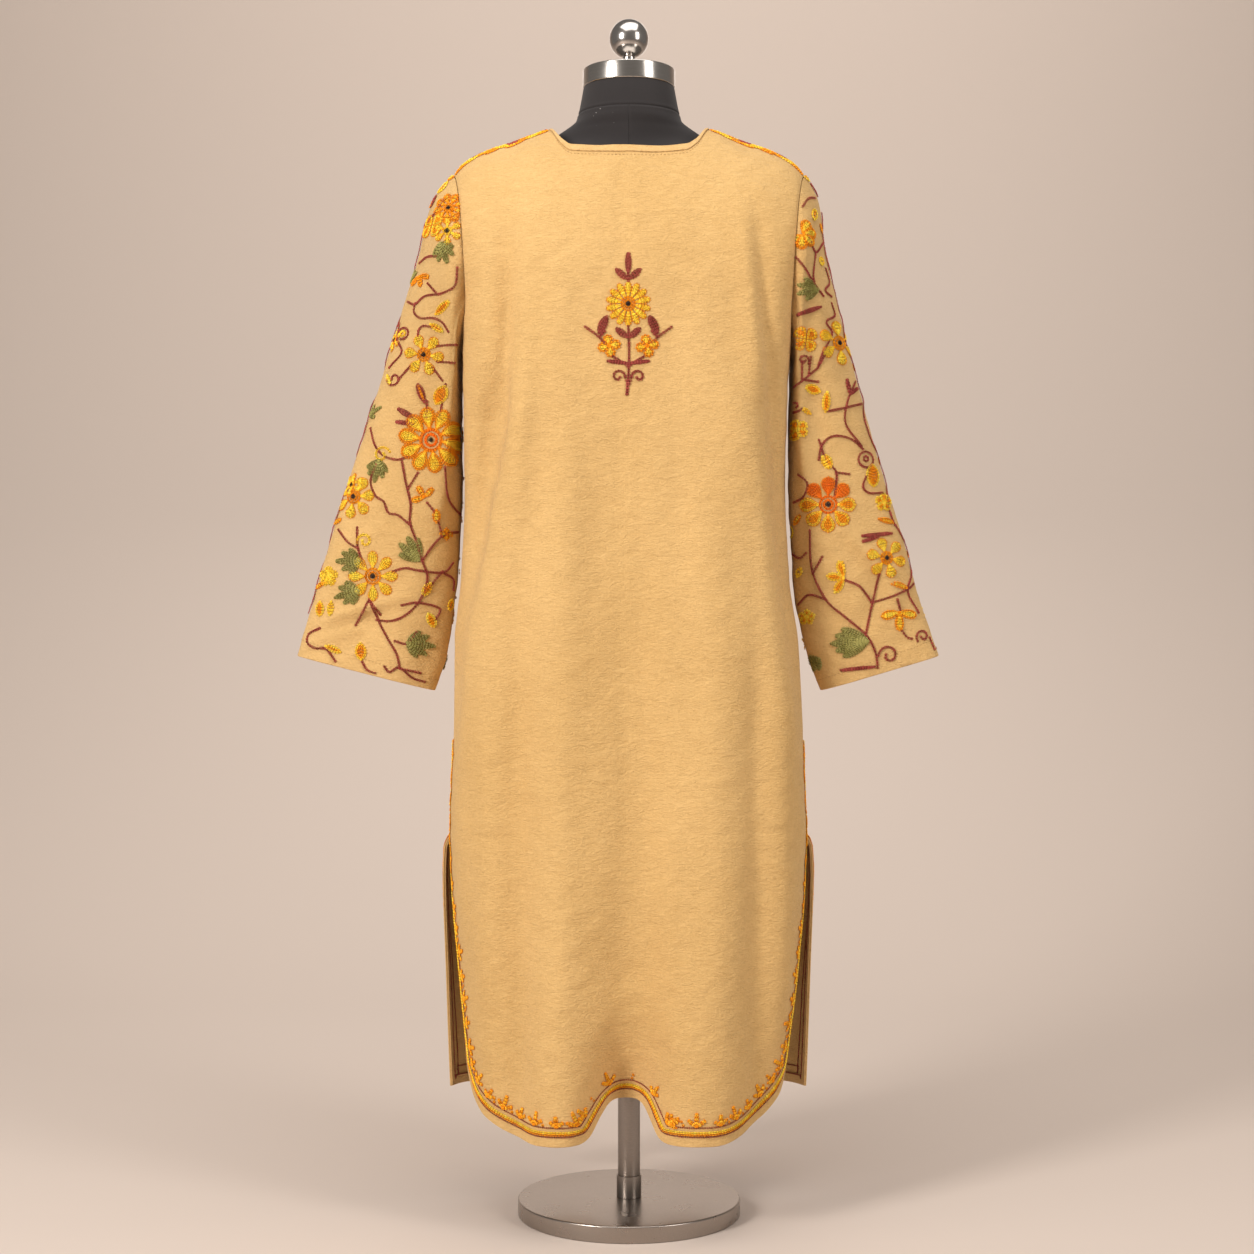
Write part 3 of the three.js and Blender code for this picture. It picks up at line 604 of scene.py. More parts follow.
def along_arc(arc, s):
    """The point a share s of the way along a section, and the direction that faces out of it there."""
    target = np.abs(s) * arc["length"]
    i = np.clip((arc["lengths"] < target[..., None]).sum(-1), 1, ARC_STEPS)
    before = np.take_along_axis(arc["lengths"], i[..., None] - 1, -1)[..., 0]
    after = np.take_along_axis(arc["lengths"], i[..., None], -1)[..., 0]
    share = (i - 1 + (target - before) / np.maximum(after - before, 1e-9)) / ARC_STEPS
    angle = mix(np.pi / 2, arc["end"], share)
    cosine, sine = np.maximum(0, np.cos(angle)), np.maximum(0, np.sin(angle))
    x = arc["half"] * cosine ** (2 / arc["square"])
    y = arc["depth"] * sine ** (2 / arc["square"])
    out_x = cosine ** (2 - 2 / arc["square"]) / arc["half"]
    out_y = sine ** (2 - 2 / arc["square"]) / arc["depth"]
    size = np.hypot(out_x, out_y)
    return x, y, out_x / size, out_y / size


def fold_height(folds, u, z):
    """How far the large folds stand out at a distance u across and a height z."""
    total = np.zeros(np.broadcast(u, z).shape)
    for u0, z0, h0, u1, z1, h1, width, fade in rows_of(folds):
        du, dz = u1 - u0, z1 - z0
        length = math.hypot(du, dz)
        along = ((u - u0) * du + (z - z0) * dz) / length
        across = ((u - u0) * dz - (z - z0) * du) / length
        past = np.maximum(0, np.maximum(-along, along - length))
        height = mix(h0, h1, smooth(along / length))
        total += height * np.exp(-((across / width) ** 2) - (past / fade) ** 2)
    return total


def hem_rise(panel, u, half_length):
    """How far the cut edge of the hem rises above its lowest level."""
    if panel["facing"] < 0:
        return np.full(np.shape(u), float(FRONT_RISE))
    from_edge = half_length - np.abs(u)
    around = np.clip((CORNER["across"] - from_edge) / CORNER["across"], 0, 1)
    corner = CORNER["up"] * (1 - (1 - around ** CORNER["power"]) ** (1 / CORNER["power"]))
    off = u - NOTCH["middle"]
    notch = NOTCH["rise"] * np.exp(-(np.abs(off / np.where(off > 0, NOTCH["left"], NOTCH["right"])) ** 3.4))
    return corner + notch


def skirt_point(panel, s, z):
    """Points of a panel's outer face below the chest, with each section's half-length."""
    side = np.where(s < 0, -1.0, 1.0)
    arc = level_arc(panel, z)
    x, y, out_x, out_y = along_arc(arc, s)
    fold = fold_height(panel["folds"], s * arc["length"], z) * smooth(y / SIDE_CALM)
    place = [arc["shift"] + side * (x + out_x * fold), panel["facing"] * (y + out_y * fold + SEAM / 2), z]
    return np.stack(place, -1), arc["length"], x, out_x * fold


def panel_points(panel, s, level, over):
    """Points of a panel's outer face, and the distance of each across the cloth from its centre line.

    s runs from -1 at the right edge to 1 at the left; level is a height up to the chest and over the share
    of the way from there to the top edge."""
    s, level, over = np.broadcast_arrays(np.asarray(s, float), level, over)
    foot = level_arc(panel, np.array(float(HEM + CORNER["up"])))["length"]
    calm = np.clip((HEM_FADE - level) / (HEM_FADE - HEM), 0, 1)
    z = level + hem_rise(panel, s * foot, foot) * calm
    low, length, at_x, fold_x = skirt_point(panel, s, z)
    top_x = read(panel["top"], "s", np.abs(s), "x")
    top_z = read(panel["top"], "s", np.abs(s), "z")
    ridge = read(SHOULDER, "x", top_x, "z")
    turn = over * np.arcsin(np.minimum(1, (top_z - CHEST) / (ridge - CHEST)))
    x = mix(at_x, top_x, over**1.6)
    depth = read(panel["profile"], "z", CHEST, "depth")
    square = read(panel["profile"], "z", CHEST, "square")
    half = read(SIDE, "z", CHEST, "half") + SHOULDER_SPREAD * np.sin(turn)
    y = depth * np.maximum(0, 1 - (x / half) ** square) ** (1 / square) * np.cos(turn)
    z_over = CHEST + (read(SHOULDER, "x", x, "z") - CHEST) * np.sin(turn)
    side = np.where(s < 0, -1.0, 1.0)
    high = np.stack([side * (x + fold_x * (1 - over)), panel["facing"] * (y + SEAM / 2), z_over], -1)
    return np.where(over[..., None] > 0, high, low), s * length


def grid_normals(points, closed, flip):
    """Outward unit directions at every grid point, from its neighbours."""
    up = np.concatenate([points[1:], points[-1:]]) - np.concatenate([points[:1], points[:-1]])
    if closed:
        across = np.roll(points, -1, 1) - np.roll(points, 1, 1)
    else:
        across = np.concatenate([points[:, 1:], points[:, -1:]], 1)
        across = across - np.concatenate([points[:, :1], points[:, :-1]], 1)
    return unit(np.cross(across, up) * flip)


def crease_height(creases, points):
    """How far the small creases stand out, each a soft ridge or trough along a line seen square on."""
    total = np.zeros(points.shape[:-1])
    x, z = points[..., 0], points[..., 2]
    for x0, z0, x1, z1, height, width in rows_of(creases):
        dx, dz = x1 - x0, z1 - z0
        q = np.clip(((x - x0) * dx + (z - z0) * dz) / (dx * dx + dz * dz), 0, 1)
        off = np.hypot(x - x0 - q * dx, z - z0 - q * dz)
        total += height * np.exp(-((off / width) ** 2)) * np.sin(np.pi * np.clip(q, 0.02, 0.98)) ** 0.7
    return total


WAVES = table(
    "length slant phase height",
    (92, 0.35, 0.4, 0.55),
    (61, -0.55, 2.1, 0.35),
    (143, 0.12, 4.4, 0.7),
    (38, 0.9, 1.2, 0.18),
    (47, -1.3, 5.0, 0.2),
)


def rumple(points, seed):
    """The cloth's slight unevenness: a few crossing shallow waves, most of them upright."""
    total = np.zeros(points.shape[:-1])
    for k, (length, slant, phase, height) in enumerate(rows_of(WAVES)):
        way = (points[..., 0] + slant * points[..., 2]) * 2 * np.pi / length
        total += height * np.sin(way + phase + seed * (k + 1))
    return total


def panel_places(neck_columns, side_columns):
    """Column places across a panel, closer towards its side edges."""
    inner = np.linspace(0, NECK_SIDE, neck_columns, endpoint=False)
    share = 1 - (1 - np.linspace(0, 1, side_columns)) ** 1.3
    half = np.concatenate([inner, mix(NECK_SIDE, 1, share)])
    return np.concatenate([-half[:0:-1], half])


def panel_rows(panel, skirt_rows, body_rows, top_rows):
    """Rows up a panel: levels from the hem to the chest, then shares of the way to the top edge."""
    armhole = 1 - np.cos(np.linspace(0, 1, 13)[1:] * np.pi / 2)
    levels = [np.linspace(HEM, HEM + TURN_UP, 5), np.linspace(HEM + TURN_UP, SLIT_TOP, skirt_rows)[1:]]
    levels += [np.linspace(SLIT_TOP, UNDERARM, body_rows)[1:], mix(UNDERARM, CHEST, armhole)]
    level = np.concatenate(levels)
    band = 1 - NECK_BAND / (panel["top"]["z"][0] - CHEST)
    over = np.concatenate([np.linspace(0, band, top_rows)[1:], np.linspace(band, 1, 5)[1:]])
    last = np.full(len(over), float(CHEST))
    return np.concatenate([level, last]), np.concatenate([np.zeros(len(level)), over])


SEAM_DIP = 1.1  # how far the cloth dips into a seam
SEAM_REACH = 3.4  # and over what distance
TOP_REACH = 190  # about how far the cloth runs from the chest to the top edge
NO_SEAM = 200  # far enough from a seam to be free of it


def panel_grid(panel, neck_columns, side_columns, skirt_rows, body_rows, top_rows, seed):
    """A panel's outer face as a grid, with its outward directions and its place on the flat cut."""
    places = panel_places(neck_columns, side_columns)
    level, over = panel_rows(panel, skirt_rows, body_rows, top_rows)
    s = places[None, :]
    points, across = panel_points(panel, s, level[:, None], over[:, None])
    normals = grid_normals(points, False, -panel["facing"])
    sewn = ((level >= SLIT_TOP) & (level <= UNDERARM) & (over == 0))[:, None]
    ends = np.where(sewn & (np.abs(s) == 1), 1.0, 0.0)[..., None]
    normals = mix(normals, np.array([1.0, 0, 0]) * np.sign(s)[..., None], ends)
    ridge = (over == 1)[:, None] & (np.abs(s) >= NECK_SIDE)
    normals[..., 1] *= ~ridge
    normals = unit(normals)
    half_length = np.abs(across[:, -1:])
    to_side = (1 - np.abs(s)) * half_length
    to_shoulder = (1 - over)[:, None] * TOP_REACH + NO_SEAM * (np.abs(s) < NECK_SIDE)
    seamed = smooth((level - SLIT_TOP) / 20)[:, None]
    dip = seamed * np.exp(-((to_side / SEAM_REACH) ** 2)) + np.exp(-((to_shoulder / SEAM_REACH) ** 2))
    calm = smooth(to_side / 30) * smooth(to_shoulder / 30)
    lift = (crease_height(panel["creases"], points) + rumple(points, seed)) * calm - SEAM_DIP * dip
    steps = np.linalg.norm(np.diff(points, axis=0, prepend=points[:1]), axis=-1)
    up = np.where(over[:, None] > 0, CHEST + np.cumsum(steps * (over > 0)[:, None], 0), points[..., 2])
    points = points + normals * lift[..., None]
    free = (level < SLIT_TOP)[:, None] | ((over == 1)[:, None] & (np.abs(s) < NECK_SIDE))
    uv = np.stack([np.broadcast_to(across, up.shape), up], -1) * MM
    grid = {"points": points, "normals": normals, "uv": uv, "closed": False, "flip": -panel["facing"]}
    grid.update(places=places, level=level, over=over, free=np.broadcast_to(free, up.shape))
    return grid


EDGE_BULGE = 0.35  # how far a free edge is rounded out, as a share of the cloth's thickness


def wall(name, grid, low, high, material, keep=None):
    """A closed wall between two distances along a grid's outward directions, over the cells kept."""
    points, normals = grid["points"].reshape(-1, 3), grid["normals"].reshape(-1, 3)
    rows, columns = grid["points"].shape[:2]
    cells = columns if grid["closed"] else columns - 1
    keep = np.ones((rows - 1, cells), bool) if keep is None else keep
    i, j = np.nonzero(keep)
    n = (j + 1) % columns
    corners = np.stack([i * columns + j, i * columns + n, (i + 1) * columns + n, (i + 1) * columns + j], 1)
    uv_columns = grid["uv"].shape[1]
    marks = np.stack([i * uv_columns + j, i * uv_columns + j + 1], 1)
    marks = np.concatenate([marks, marks[:, ::-1] + uv_columns], 1)
    if grid["flip"] < 0:
        corners, marks = corners[:, ::-1], marks[:, ::-1]
    count = len(points)
    starts, ends = corners.ravel(), np.roll(corners, -1, 1).ravel()
    start_marks, end_marks = marks.ravel(), np.roll(marks, -1, 1).ravel()
    known = set(zip(ends.tolist(), starts.tolist()))
    rim = np.array([k for k, edge in enumerate(zip(starts.tolist(), ends.tolist())) if edge not in known])
    a, b = starts[rim], ends[rim]
    way = np.zeros((count, 3))
    along = points[b] - points[a]
    sideways = np.cross(along, normals[a])
    sideways /= np.maximum(np.linalg.norm(sideways, axis=1, keepdims=True), 1e-9)
    np.add.at(way, a, sideways)
    np.add.at(way, b, sideways)
    way /= np.maximum(np.linalg.norm(way, axis=1, keepdims=True), 1e-9)
    bulge = (high - low) * EDGE_BULGE * grid["free"].reshape(-1, 1)
    middle = points + normals * (low + high) / 2 + way * bulge
    vertices = np.concatenate([points + normals * high, points + normals * low, middle])
    outer, inner = corners, corners[:, ::-1] + count
    edge_out = np.stack([b, a, a + 2 * count, b + 2 * count], 1)
    edge_in = np.stack([b + 2 * count, a + 2 * count, a + count, b + count], 1)
    faces = np.concatenate([outer, inner, edge_out, edge_in])
    rim_marks = np.stack([end_marks[rim], start_marks[rim], start_marks[rim], end_marks[rim]], 1)
    flat = grid["uv"].reshape(-1, 2)
    uvs = flat[np.concatenate([marks, marks[:, ::-1], rim_marks, rim_marks])]
    used = np.unique(faces)
    slot = np.zeros(3 * count, int)
    slot[used] = np.arange(len(used))
    return mesh_piece(name, vertices[used], slot[faces].tolist(), material, uvs.reshape(-1, 2), sharp=50)


THREAD_PITCH = 1.15 * MM
THREAD_WANDER = 0.9 * MM


def wool_cloth(name, colour, weave_depth):
    """Milled plain-woven wool: uneven threads both ways, cloudy dye, a soft nap and a faint crumple."""
    tint, shine = (1.0, 0.86, 0.62, 1), {"Sheen_Weight": 0.22, "Sheen_Roughness": 0.45}
    material, tree, shader = new_material(name, 0.88, Sheen_Tint=tint, Specular_IOR_Level=0.22, **shine)
    cut = add_node(tree, "ShaderNodeUVMap", uv_map="cut").outputs[0]
    place = object_place(tree)

    def blend(first, *others):
        """The first amount, with a share of each of the others on top."""
        for amount, share in others:
            first = calc(tree, "ADD", first, calc(tree, "MULTIPLY", amount, share))
        return first

    def threads(across):
        """Ridges a thread apart, across the way they run."""
        wave = calc(tree, "SINE", calc(tree, "MULTIPLY", across, math.pi / THREAD_PITCH))
        return calc(tree, "ABSOLUTE", wave)

    wander = add_node(tree, "ShaderNodeTexNoise", {"Vector": cut, "Scale": 180.0, "Detail": 1.0})
    inputs = {0: wander.outputs["Color"], 1: (THREAD_WANDER,) * 3}
    shift = add_node(tree, "ShaderNodeVectorMath", inputs, operation="MULTIPLY").outputs[0]
    drawn = add_node(tree, "ShaderNodeVectorMath", {0: cut, 1: shift}, operation="ADD").outputs[0]
    parts = add_node(tree, "ShaderNodeSeparateXYZ", {0: drawn}).outputs
    weave = calc(tree, "MULTIPLY", threads(parts["X"]), threads(parts["Y"]))
    weft_slub = stretched(tree, cut, (70, 520, 1), 3.0, 0.6)
    slub = blend(weft_slub, (stretched(tree, cut, (480, 90, 1), 3.0, 0.6), 0.6))
    crepe = stretched(tree, place, (110, 110, 260), 3.0, 1.4)
    clouds = stretched(tree, place, (7, 7, 4), 3.0)
    felt = stretched(tree, place, (420, 420, 420), 4.0)
    mottle = calc(tree, "MULTIPLY", slub, 0.26)
    mottle = blend(mottle, (clouds, 0.36), (felt, 0.18), (crepe, 0.22), (weave, 0.07))
    dark = [c * share for c, share in zip(colour, (0.80, 0.76, 0.68))]
    light = [c * share for c, share in zip(colour, (1.10, 1.13, 1.22))]
    surface = blend(calc(tree, "MULTIPLY", weave, weave_depth), (slub, 0.55), (felt, 0.5))
    fine = bump(tree, surface, 0.0006, 0.55)
    crumple = calc(tree, "MULTIPLY", stretched(tree, place, (20, 20, 34), 3.0, 0.5), 2.2)
    broad = bump(tree, blend(crumple, (crepe, 1.0)), 0.005, 0.45, Normal=fine)
    feed(tree, shader, Base_Color=ramp(tree, mottle, dark, light, 0.36, 0.76), Normal=broad)
    return material


wool = wool_cloth("camel wool", (0.67, 0.418, 0.158), 0.7)
back_grid = panel_grid(BACK, 34, 44, 48, 74, 32, 0.0)
back_panel = wall("back_panel_cloth", back_grid, -CLOTH, 0, wool)
own(back_panel, "wool", "back_panel")

# ---------------------------------------------------------------- front panel
# The same wool, cut like the back but with a straight hem, wider slit edges and a deeper round neckline.
# It is sewn to the back at the shoulders and down the sides as far as the slits.
FRONT = {
    "facing": -1,
    "skirt": table(
        "z half shift edge",
        (110, 239, 1, 66),
        (300, 237, 1, 44),
        (420, 236, 1, 20),
        (464, 233, 1, 10),
        (480, 223, 1, 0),
    ),
    "profile": table(
        "z depth square",
        (110, 136, 2.9),
        (480, 128, 3.1),
        (800, 124, 3.1),
        (1000, 130, 3.2),
        (1090, 132, 3.5),
        (1150, 130, 3.6),
    ),
    "top": table(
        "s x z",
        (0, 0, 1258),
        (0.12, 30, 1264),
        (0.22, 57, 1281),
        (0.3, 78, 1308),
        (0.37, 92, 1338),
        *SHOULDER_EDGE,
    ),
    "folds": table(
        FOLD_COLUMNS,
        (8, 110, -26, 4, 560, -4, 42, 150),
        (92, 110, 16, 74, 760, 4, 40, 150),
        (-86, 110, 15, -70, 740, 4, 40, 150),
        (172, 120, -15, 150, 900, -9, 30, 120),
        (-170, 120, -14, -152, 880, -8, 30, 120),
    ),
    "creases": table(
        CREASE_COLUMNS,
        (-202, 520, -120, 508, 1.5, 7),
        (198, 516, 132, 524, 1.3, 7),
        (-120, 600, -60, 590, 0.9, 8),
        (40, 470, 110, 455, -0.9, 8),
        (196, 1010, 160, 900, -1.3, 7),
        (-194, 1005, -158, 895, -1.2, 7),
        (112, 760, 104, -60, 5.0, 27),
        (-110, 780, -102, -60, 5.0, 27),
        (-6, 860, 4, -120, -7.0, 28),
        (150, 1180, 190, 860, -4.0, 13),
        (-148, 1180, -188, 850, -4.0, 13),
        (160, 1290, 190, 1262, 0.9, 6),
        (-158, 1288, -188, 1258, 0.9, 6),
    ),
}
front_grid = panel_grid(FRONT, 22, 32, 40, 58, 28, 1.7)
front_panel = wall("front_panel_cloth", front_grid, -CLOTH, 0, wool)
own(front_panel, "wool", "front_panel")

# ---------------------------------------------------------------- sleeves
# Wide straight sleeves of the same wool, each one piece folded round and sewn along its inner line, set into
# the armhole and flaring to the cuff. They hang empty, so they lie nearly flat towards the cuff.
ARMHOLE_GAP, FRONT_EASE = 0.6, 0.9  # the seam's gap, and how much it opens low on the front
SLEEVE = table(
    "at inner_z clear outer_z left right deep forward square",
    (0, 1090, 0, 1306, 226, 226, 66, 0, 2),
    (0.06, 1064, 5, 1273, 251, 241, 71, 2, 2),
    (0.16, 1018, 5, 1212, 266, 250, 68, 6, 2),
    (0.28, 960, 5, 1140, 288, 266, 64, 10, 2.1),
    (0.4, 902, 5, 1066, 311, 285, 59, 12, 2.1),
    (0.52, 846, 5, 992, 334, 304, 53, 12, 2.2),
    (0.64, 794, 5, 918, 357, 326, 47, 10, 2.2),
    (0.76, 747, 6, 846, 379, 348, 41, 8, 2.3),
    (0.88, 703, 11, 774, 399, 369, 35, 6, 2.3),
    (1, 660, 25, 704, 419, 391, 29, 4, 2.4),
)
SLEEVE_FOLDS = table(
    "turn0 at0 turn1 at1 height width",
    (0.12, 0.02, 0.17, 0.62, 9, 0.035),
    (0.2, 0.02, 0.26, 0.55, -6, 0.045),
    (0.86, 0.05, 0.8, 0.6, 7, 0.05),
    (0.36, 0.72, 0.2, 0.94, -5, 0.04),
)
SLEEVE_FIRST, CUFF_START = 0.012, 0.976
LOOP_FADE = 0.3  # the armhole's own outline fades out over this share of the sleeve
LOOP_STEPS = 20  # the armhole's parameter runs from 0 to this, the shoulder tip half-way
ARMHOLE_STEPS = (0, 0.3, 0.66, 1)
TOP_STEPS = (0, 0.16, 0.32, 0.48, 0.64, 0.8)
SLEEVE_CREASES = {
    1: table(
        CREASE_COLUMNS,
        (396, 744, 268, 782, 5.0, 8),
        (392, 730, 280, 764, -4.6, 9),
        (403, 722, 314, 748, 2.5, 8),
        (398, 706, 326, 730, -3.2, 10),
        (352, 880, 300, 900, 1.8, 7),
        (300, 1060, 270, 1100, 1.6, 8),
        (380, 790, 350, 800, 1.5, 6),
        (262, 1180, 246, 1090, 1.4, 8),
        (330, 990, 300, 1000, 1.2, 6),
        (372, 842, 322, 858, 1.2, 7),
        (250, 1012, 300, 1040, 1.0, 7),
        (236, 790, 262, 740, -1.4, 8),
        (300, 905, 270, 860, 0.9, 9),
    ),
    -1: table(
        CREASE_COLUMNS,
        (-262, 866, -343, 788, 4.2, 7),
        (-256, 850, -330, 772, -3.4, 9),
        (-316, 800, -346, 764, 2.6, 6),
        (-300, 905, -330, 870, 1.6, 7),
        (-240, 1010, -262, 960, 2.2, 9),
        (-222, 985, -246, 950, 1.5, 8),
        (-238, 1170, -236, 1060, 1.6, 8),
        (-226, 920, -216, 840, -1.4, 9),
        (-352, 712, -340, 690, 1.0, 8),
        (-286, 700, -300, 740, 0.9, 9),
    ),
}


def sleeve_fold(turn, at):
    total = 0
    for turn0, at0, turn1, at1, height, width in rows_of(SLEEVE_FOLDS):
        q = np.clip((at - at0) / (at1 - at0), 0, 1)
        off = turn - mix(turn0, turn1, q)
        total = total + height * np.sin(np.pi * q) ** 1.5 * np.exp(-((off / width) ** 2))
    return total


def armhole_edge_points(panel, t, s):
    """Places on a panel's armhole edge, t steps from the underarm, or beside it where s is under 1."""
    band = 1 - NECK_BAND / (panel["top"]["z"][0] - CHEST)
    q = np.interp(t, range(4), ARMHOLE_STEPS)
    level = mix(UNDERARM, CHEST, 1 - np.cos(q * np.pi / 2))
    over = np.interp(t, range(3, 11), (*TOP_STEPS, band, 1))
    return panel_points(panel, np.full(t.shape, s), level, over)[0]


def sleeve_sections(side, at):
    """Each section's middle, its half towards the outer line, the direction away from it and its depth."""
    reach = "left" if side > 0 else "right"
    inner_z = read(SLEEVE, "at", at, "inner_z")
    seam = read(SIDE, "z", inner_z, "half") + side * read(SIDE, "z", inner_z, "shift")
    inner_x = side * (seam + read(SLEEVE, "at", at, "clear"))
    y = -read(SLEEVE, "at", at, "forward")
    inner = np.stack([inner_x, y, inner_z], -1)
    outer = np.stack([side * read(SLEEVE, "at", at, reach), y, read(SLEEVE, "at", at, "outer_z")], -1)
    arm = (outer - inner) / 2
    away = unit(np.stack([arm[:, 2] * side, np.zeros(len(at)), -arm[:, 0] * side], -1))
    return (inner + outer) / 2, arm, away, read(SLEEVE, "at", at, "deep"), read(SLEEVE, "at", at, "square")


def sleeve_grid(side, around, rings, seed):
    """A sleeve's outer face as a closed grid from the armhole down to the cuff."""
    t = LOOP_STEPS * np.arange(around) / around
    half = LOOP_STEPS / 2
    on_back = (t <= half)[:, None]
    edges = {}
    for s in (1, TURNED_EDGE):
        behind = armhole_edge_points(BACK, np.minimum(t, half), side * s)
        before = armhole_edge_points(FRONT, np.minimum(LOOP_STEPS - t, half), side * s)
        edges[s] = np.where(on_back, behind, before)
    loop = edges[1]
    leave = unit(loop - edges[TURNED_EDGE])
    stops = np.concatenate([[0], np.linspace(SLEEVE_FIRST, CUFF_START, rings), [0.984, 0.992, 1]])
    middle, arm, away, deep, square = sleeve_sections(side, stops)
    local = loop - middle[0]
    own_along = local @ arm[0] / (arm[0] @ arm[0])
    own_deep = local[:, 1] / deep[0]
    own_away = local @ away[0]
    angle = 2 * np.pi * t / LOOP_STEPS
    power = 2 / square[:, None]
    along = -np.sign(np.cos(angle)) * np.abs(np.cos(angle)) ** power
    across = np.sign(np.sin(angle)) * np.abs(np.sin(angle)) ** power
    keep_own = (1 - smooth(stops / LOOP_FADE))[:, None]
    swell = sleeve_fold((t / LOOP_STEPS)[None, :], stops[:, None])
    arm_length = np.linalg.norm(arm, axis=1)[:, None]
    along = mix(along, own_along, keep_own) * (1 + swell / arm_length)
    across = mix(across, own_deep, keep_own) * (deep[:, None] + swell)
    points = middle[:, None] + arm[:, None] * along[..., None]
    points = points + away[:, None] * (own_away * keep_own)[..., None]
    points[..., 1] += across
    low_front = smooth(LOOP_STEPS - t) * smooth((t - LOOP_STEPS + 6) / 2)
    gap = (ARMHOLE_GAP + FRONT_EASE * low_front)[:, None]
    points[0] = loop + leave * gap + gap * np.array([side, 0, 0])
    normals = grid_normals(points, True, side)
    tangent = np.roll(loop, -1, 0) - np.roll(loop, 1, 0)
    rim = unit(np.cross(tangent, leave) * side)
    under = (1 - smooth((loop[:, 2] - UNDERARM) / 30))[:, None]
    normals[0] = unit(rim * (1 - under) + np.array([0, 0, -1.0]) * under)
    down = np.cumsum(np.linalg.norm(np.diff(points, axis=0, prepend=points[:1]), axis=-1), 0)
    seam_dip = np.exp(-((down / SEAM_REACH) ** 2))
    calm = smooth(down / 40)
    lift = (crease_height(SLEEVE_CREASES[side], points) + rumple(points, seed)) * calm - SEAM_DIP * seam_dip
    ring = np.concatenate([points, points[:, :1]], 1)
    across = np.cumsum(np.linalg.norm(np.diff(ring, axis=1, prepend=ring[:, :1]), axis=-1), 1)
    down = np.concatenate([down, down[:, :1]], 1)
    grid = {"points": points + normals * lift[..., None], "normals": normals, "closed": True, "flip": side}
    grid.update(uv=np.stack([across, -down], -1) * MM, stops=stops)
    grid["free"] = np.broadcast_to((stops > 0.9)[:, None], points.shape[:2])
    return grid


SIDES = {"left": 1, "right": -1}
SLEEVE_COLUMNS = 116
sleeve_grids = {}
sleeves = {}
for name, side in SIDES.items():
    sleeve_grids[name] = sleeve_grid(side, SLEEVE_COLUMNS, 98, 2.3 * side)
    sleeves[name] = wall(f"{name}_sleeve_cloth", sleeve_grids[name], -CLOTH, 0, wool)
    own(sleeves[name], "wool", f"{name}_sleeve")

# ---------------------------------------------------------------- neck bands and turned edges
# The neckline is faced with a narrow strip of the wool, stitched down, so it puckers a little. Hem, slits and
# cuffs are folded in once, and each fold lies flat against the inside.
PUCKER = {"height": 0.28, "length": 8.5}
STRIP_GAP = 0.4
FOLD_TOP = -CLOTH - SEAM  # the folded edges lie just inside the wall
wool_strip = wool_cloth("camel wool strip", (0.71, 0.445, 0.178), 0.7)
trims = {"back_panel": [], "front_panel": [], "left_sleeve": [], "right_sleeve": []}
for name, grid in (("back", back_grid), ("front", front_grid)):
    places = (grid["places"][1:] + grid["places"][:-1]) / 2
    level, over = grid["level"][:-1, None], grid["over"][:-1, None]
    band_foot = grid["over"][-5]
    ripple = PUCKER["height"] * np.sin(grid["points"][..., 0] * 2 * np.pi / PUCKER["length"])
    fade = np.clip((1 - grid["over"]) / (1 - band_foot), 0, 1)[:, None]
    puckered = dict(grid, points=grid["points"] + grid["normals"] * (ripple * fade)[..., None])
    puckered["free"] = np.ones(grid["free"].shape, bool)
    at_neck = (over >= band_foot) & (np.abs(places) < NECK_SIDE)
    strip = wall(f"{name}_neck_strip", puckered, STRIP_GAP, STRIP_GAP + BAND, wool_strip, at_neck)
    own(strip, "wool", f"{name}_neck_band")
    at_edge = (level < HEM + TURN_UP) | ((level < SLIT_TOP) & (np.abs(places) > TURNED_EDGE))
    fold = wall(f"{name}_hem_fold", grid, FOLD_TOP - BAND, FOLD_TOP, wool_strip, at_edge & (over == 0))
    own(fold, "wool", f"{name}_hem_turn_up")
    trims[f"{name}_panel"] += [strip, fold]
for name, grid in sleeve_grids.items():
    folded = grid["stops"][:-1] >= CUFF_START - 1e-6
    at_cuff = np.broadcast_to(folded[:, None], (len(folded), SLEEVE_COLUMNS))
    fold = wall(f"{name}_cuff_fold", grid, FOLD_TOP - BAND, FOLD_TOP, wool_strip, at_cuff)
    own(fold, "wool", f"{name}_cuff_turn_up")
    trims[f"{name}_sleeve"].append(fold)


# ---------------------------------------------------------------- stitches
# Every sewn line is a row of single stitches laid along a path on the cloth: chain links of thick crewel wool
# for the embroidery and short plain stitches of fine thread for the seams.
def spindle(start, middle, end, radius, rings):
    """A strand from one point to another by way of a bend, three-sided and pointed at both ends."""
    start, middle, end = np.array(start), np.array(middle), np.array(end)
    vertices = [start]
    for k in range(1, rings + 1):
        q = k / (rings + 1)
        centre = (1 - q) ** 2 * start + 2 * q * (1 - q) * middle + q * q * end
        thick = radius * math.sin(math.pi * q) ** 0.5
        for turn in (90, 210, 330):
            way = math.radians(turn)
            vertices.append(centre + np.array([0, math.cos(way), math.sin(way)]) * thick)
    vertices.append(end)
    faces = [(0, 1 + (k + 1) % 3, 1 + k) for k in range(3)]
    for ring in range(rings - 1):
        low, high = 1 + 3 * ring, 4 + 3 * ring
        faces += [(low + k, low + (k + 1) % 3, high + (k + 1) % 3, high + k) for k in range(3)]
    tip, last = len(vertices) - 1, 1 + 3 * (rings - 1)
    faces += [(last + k, last + (k + 1) % 3, tip) for k in range(3)]
    return vertices, faces


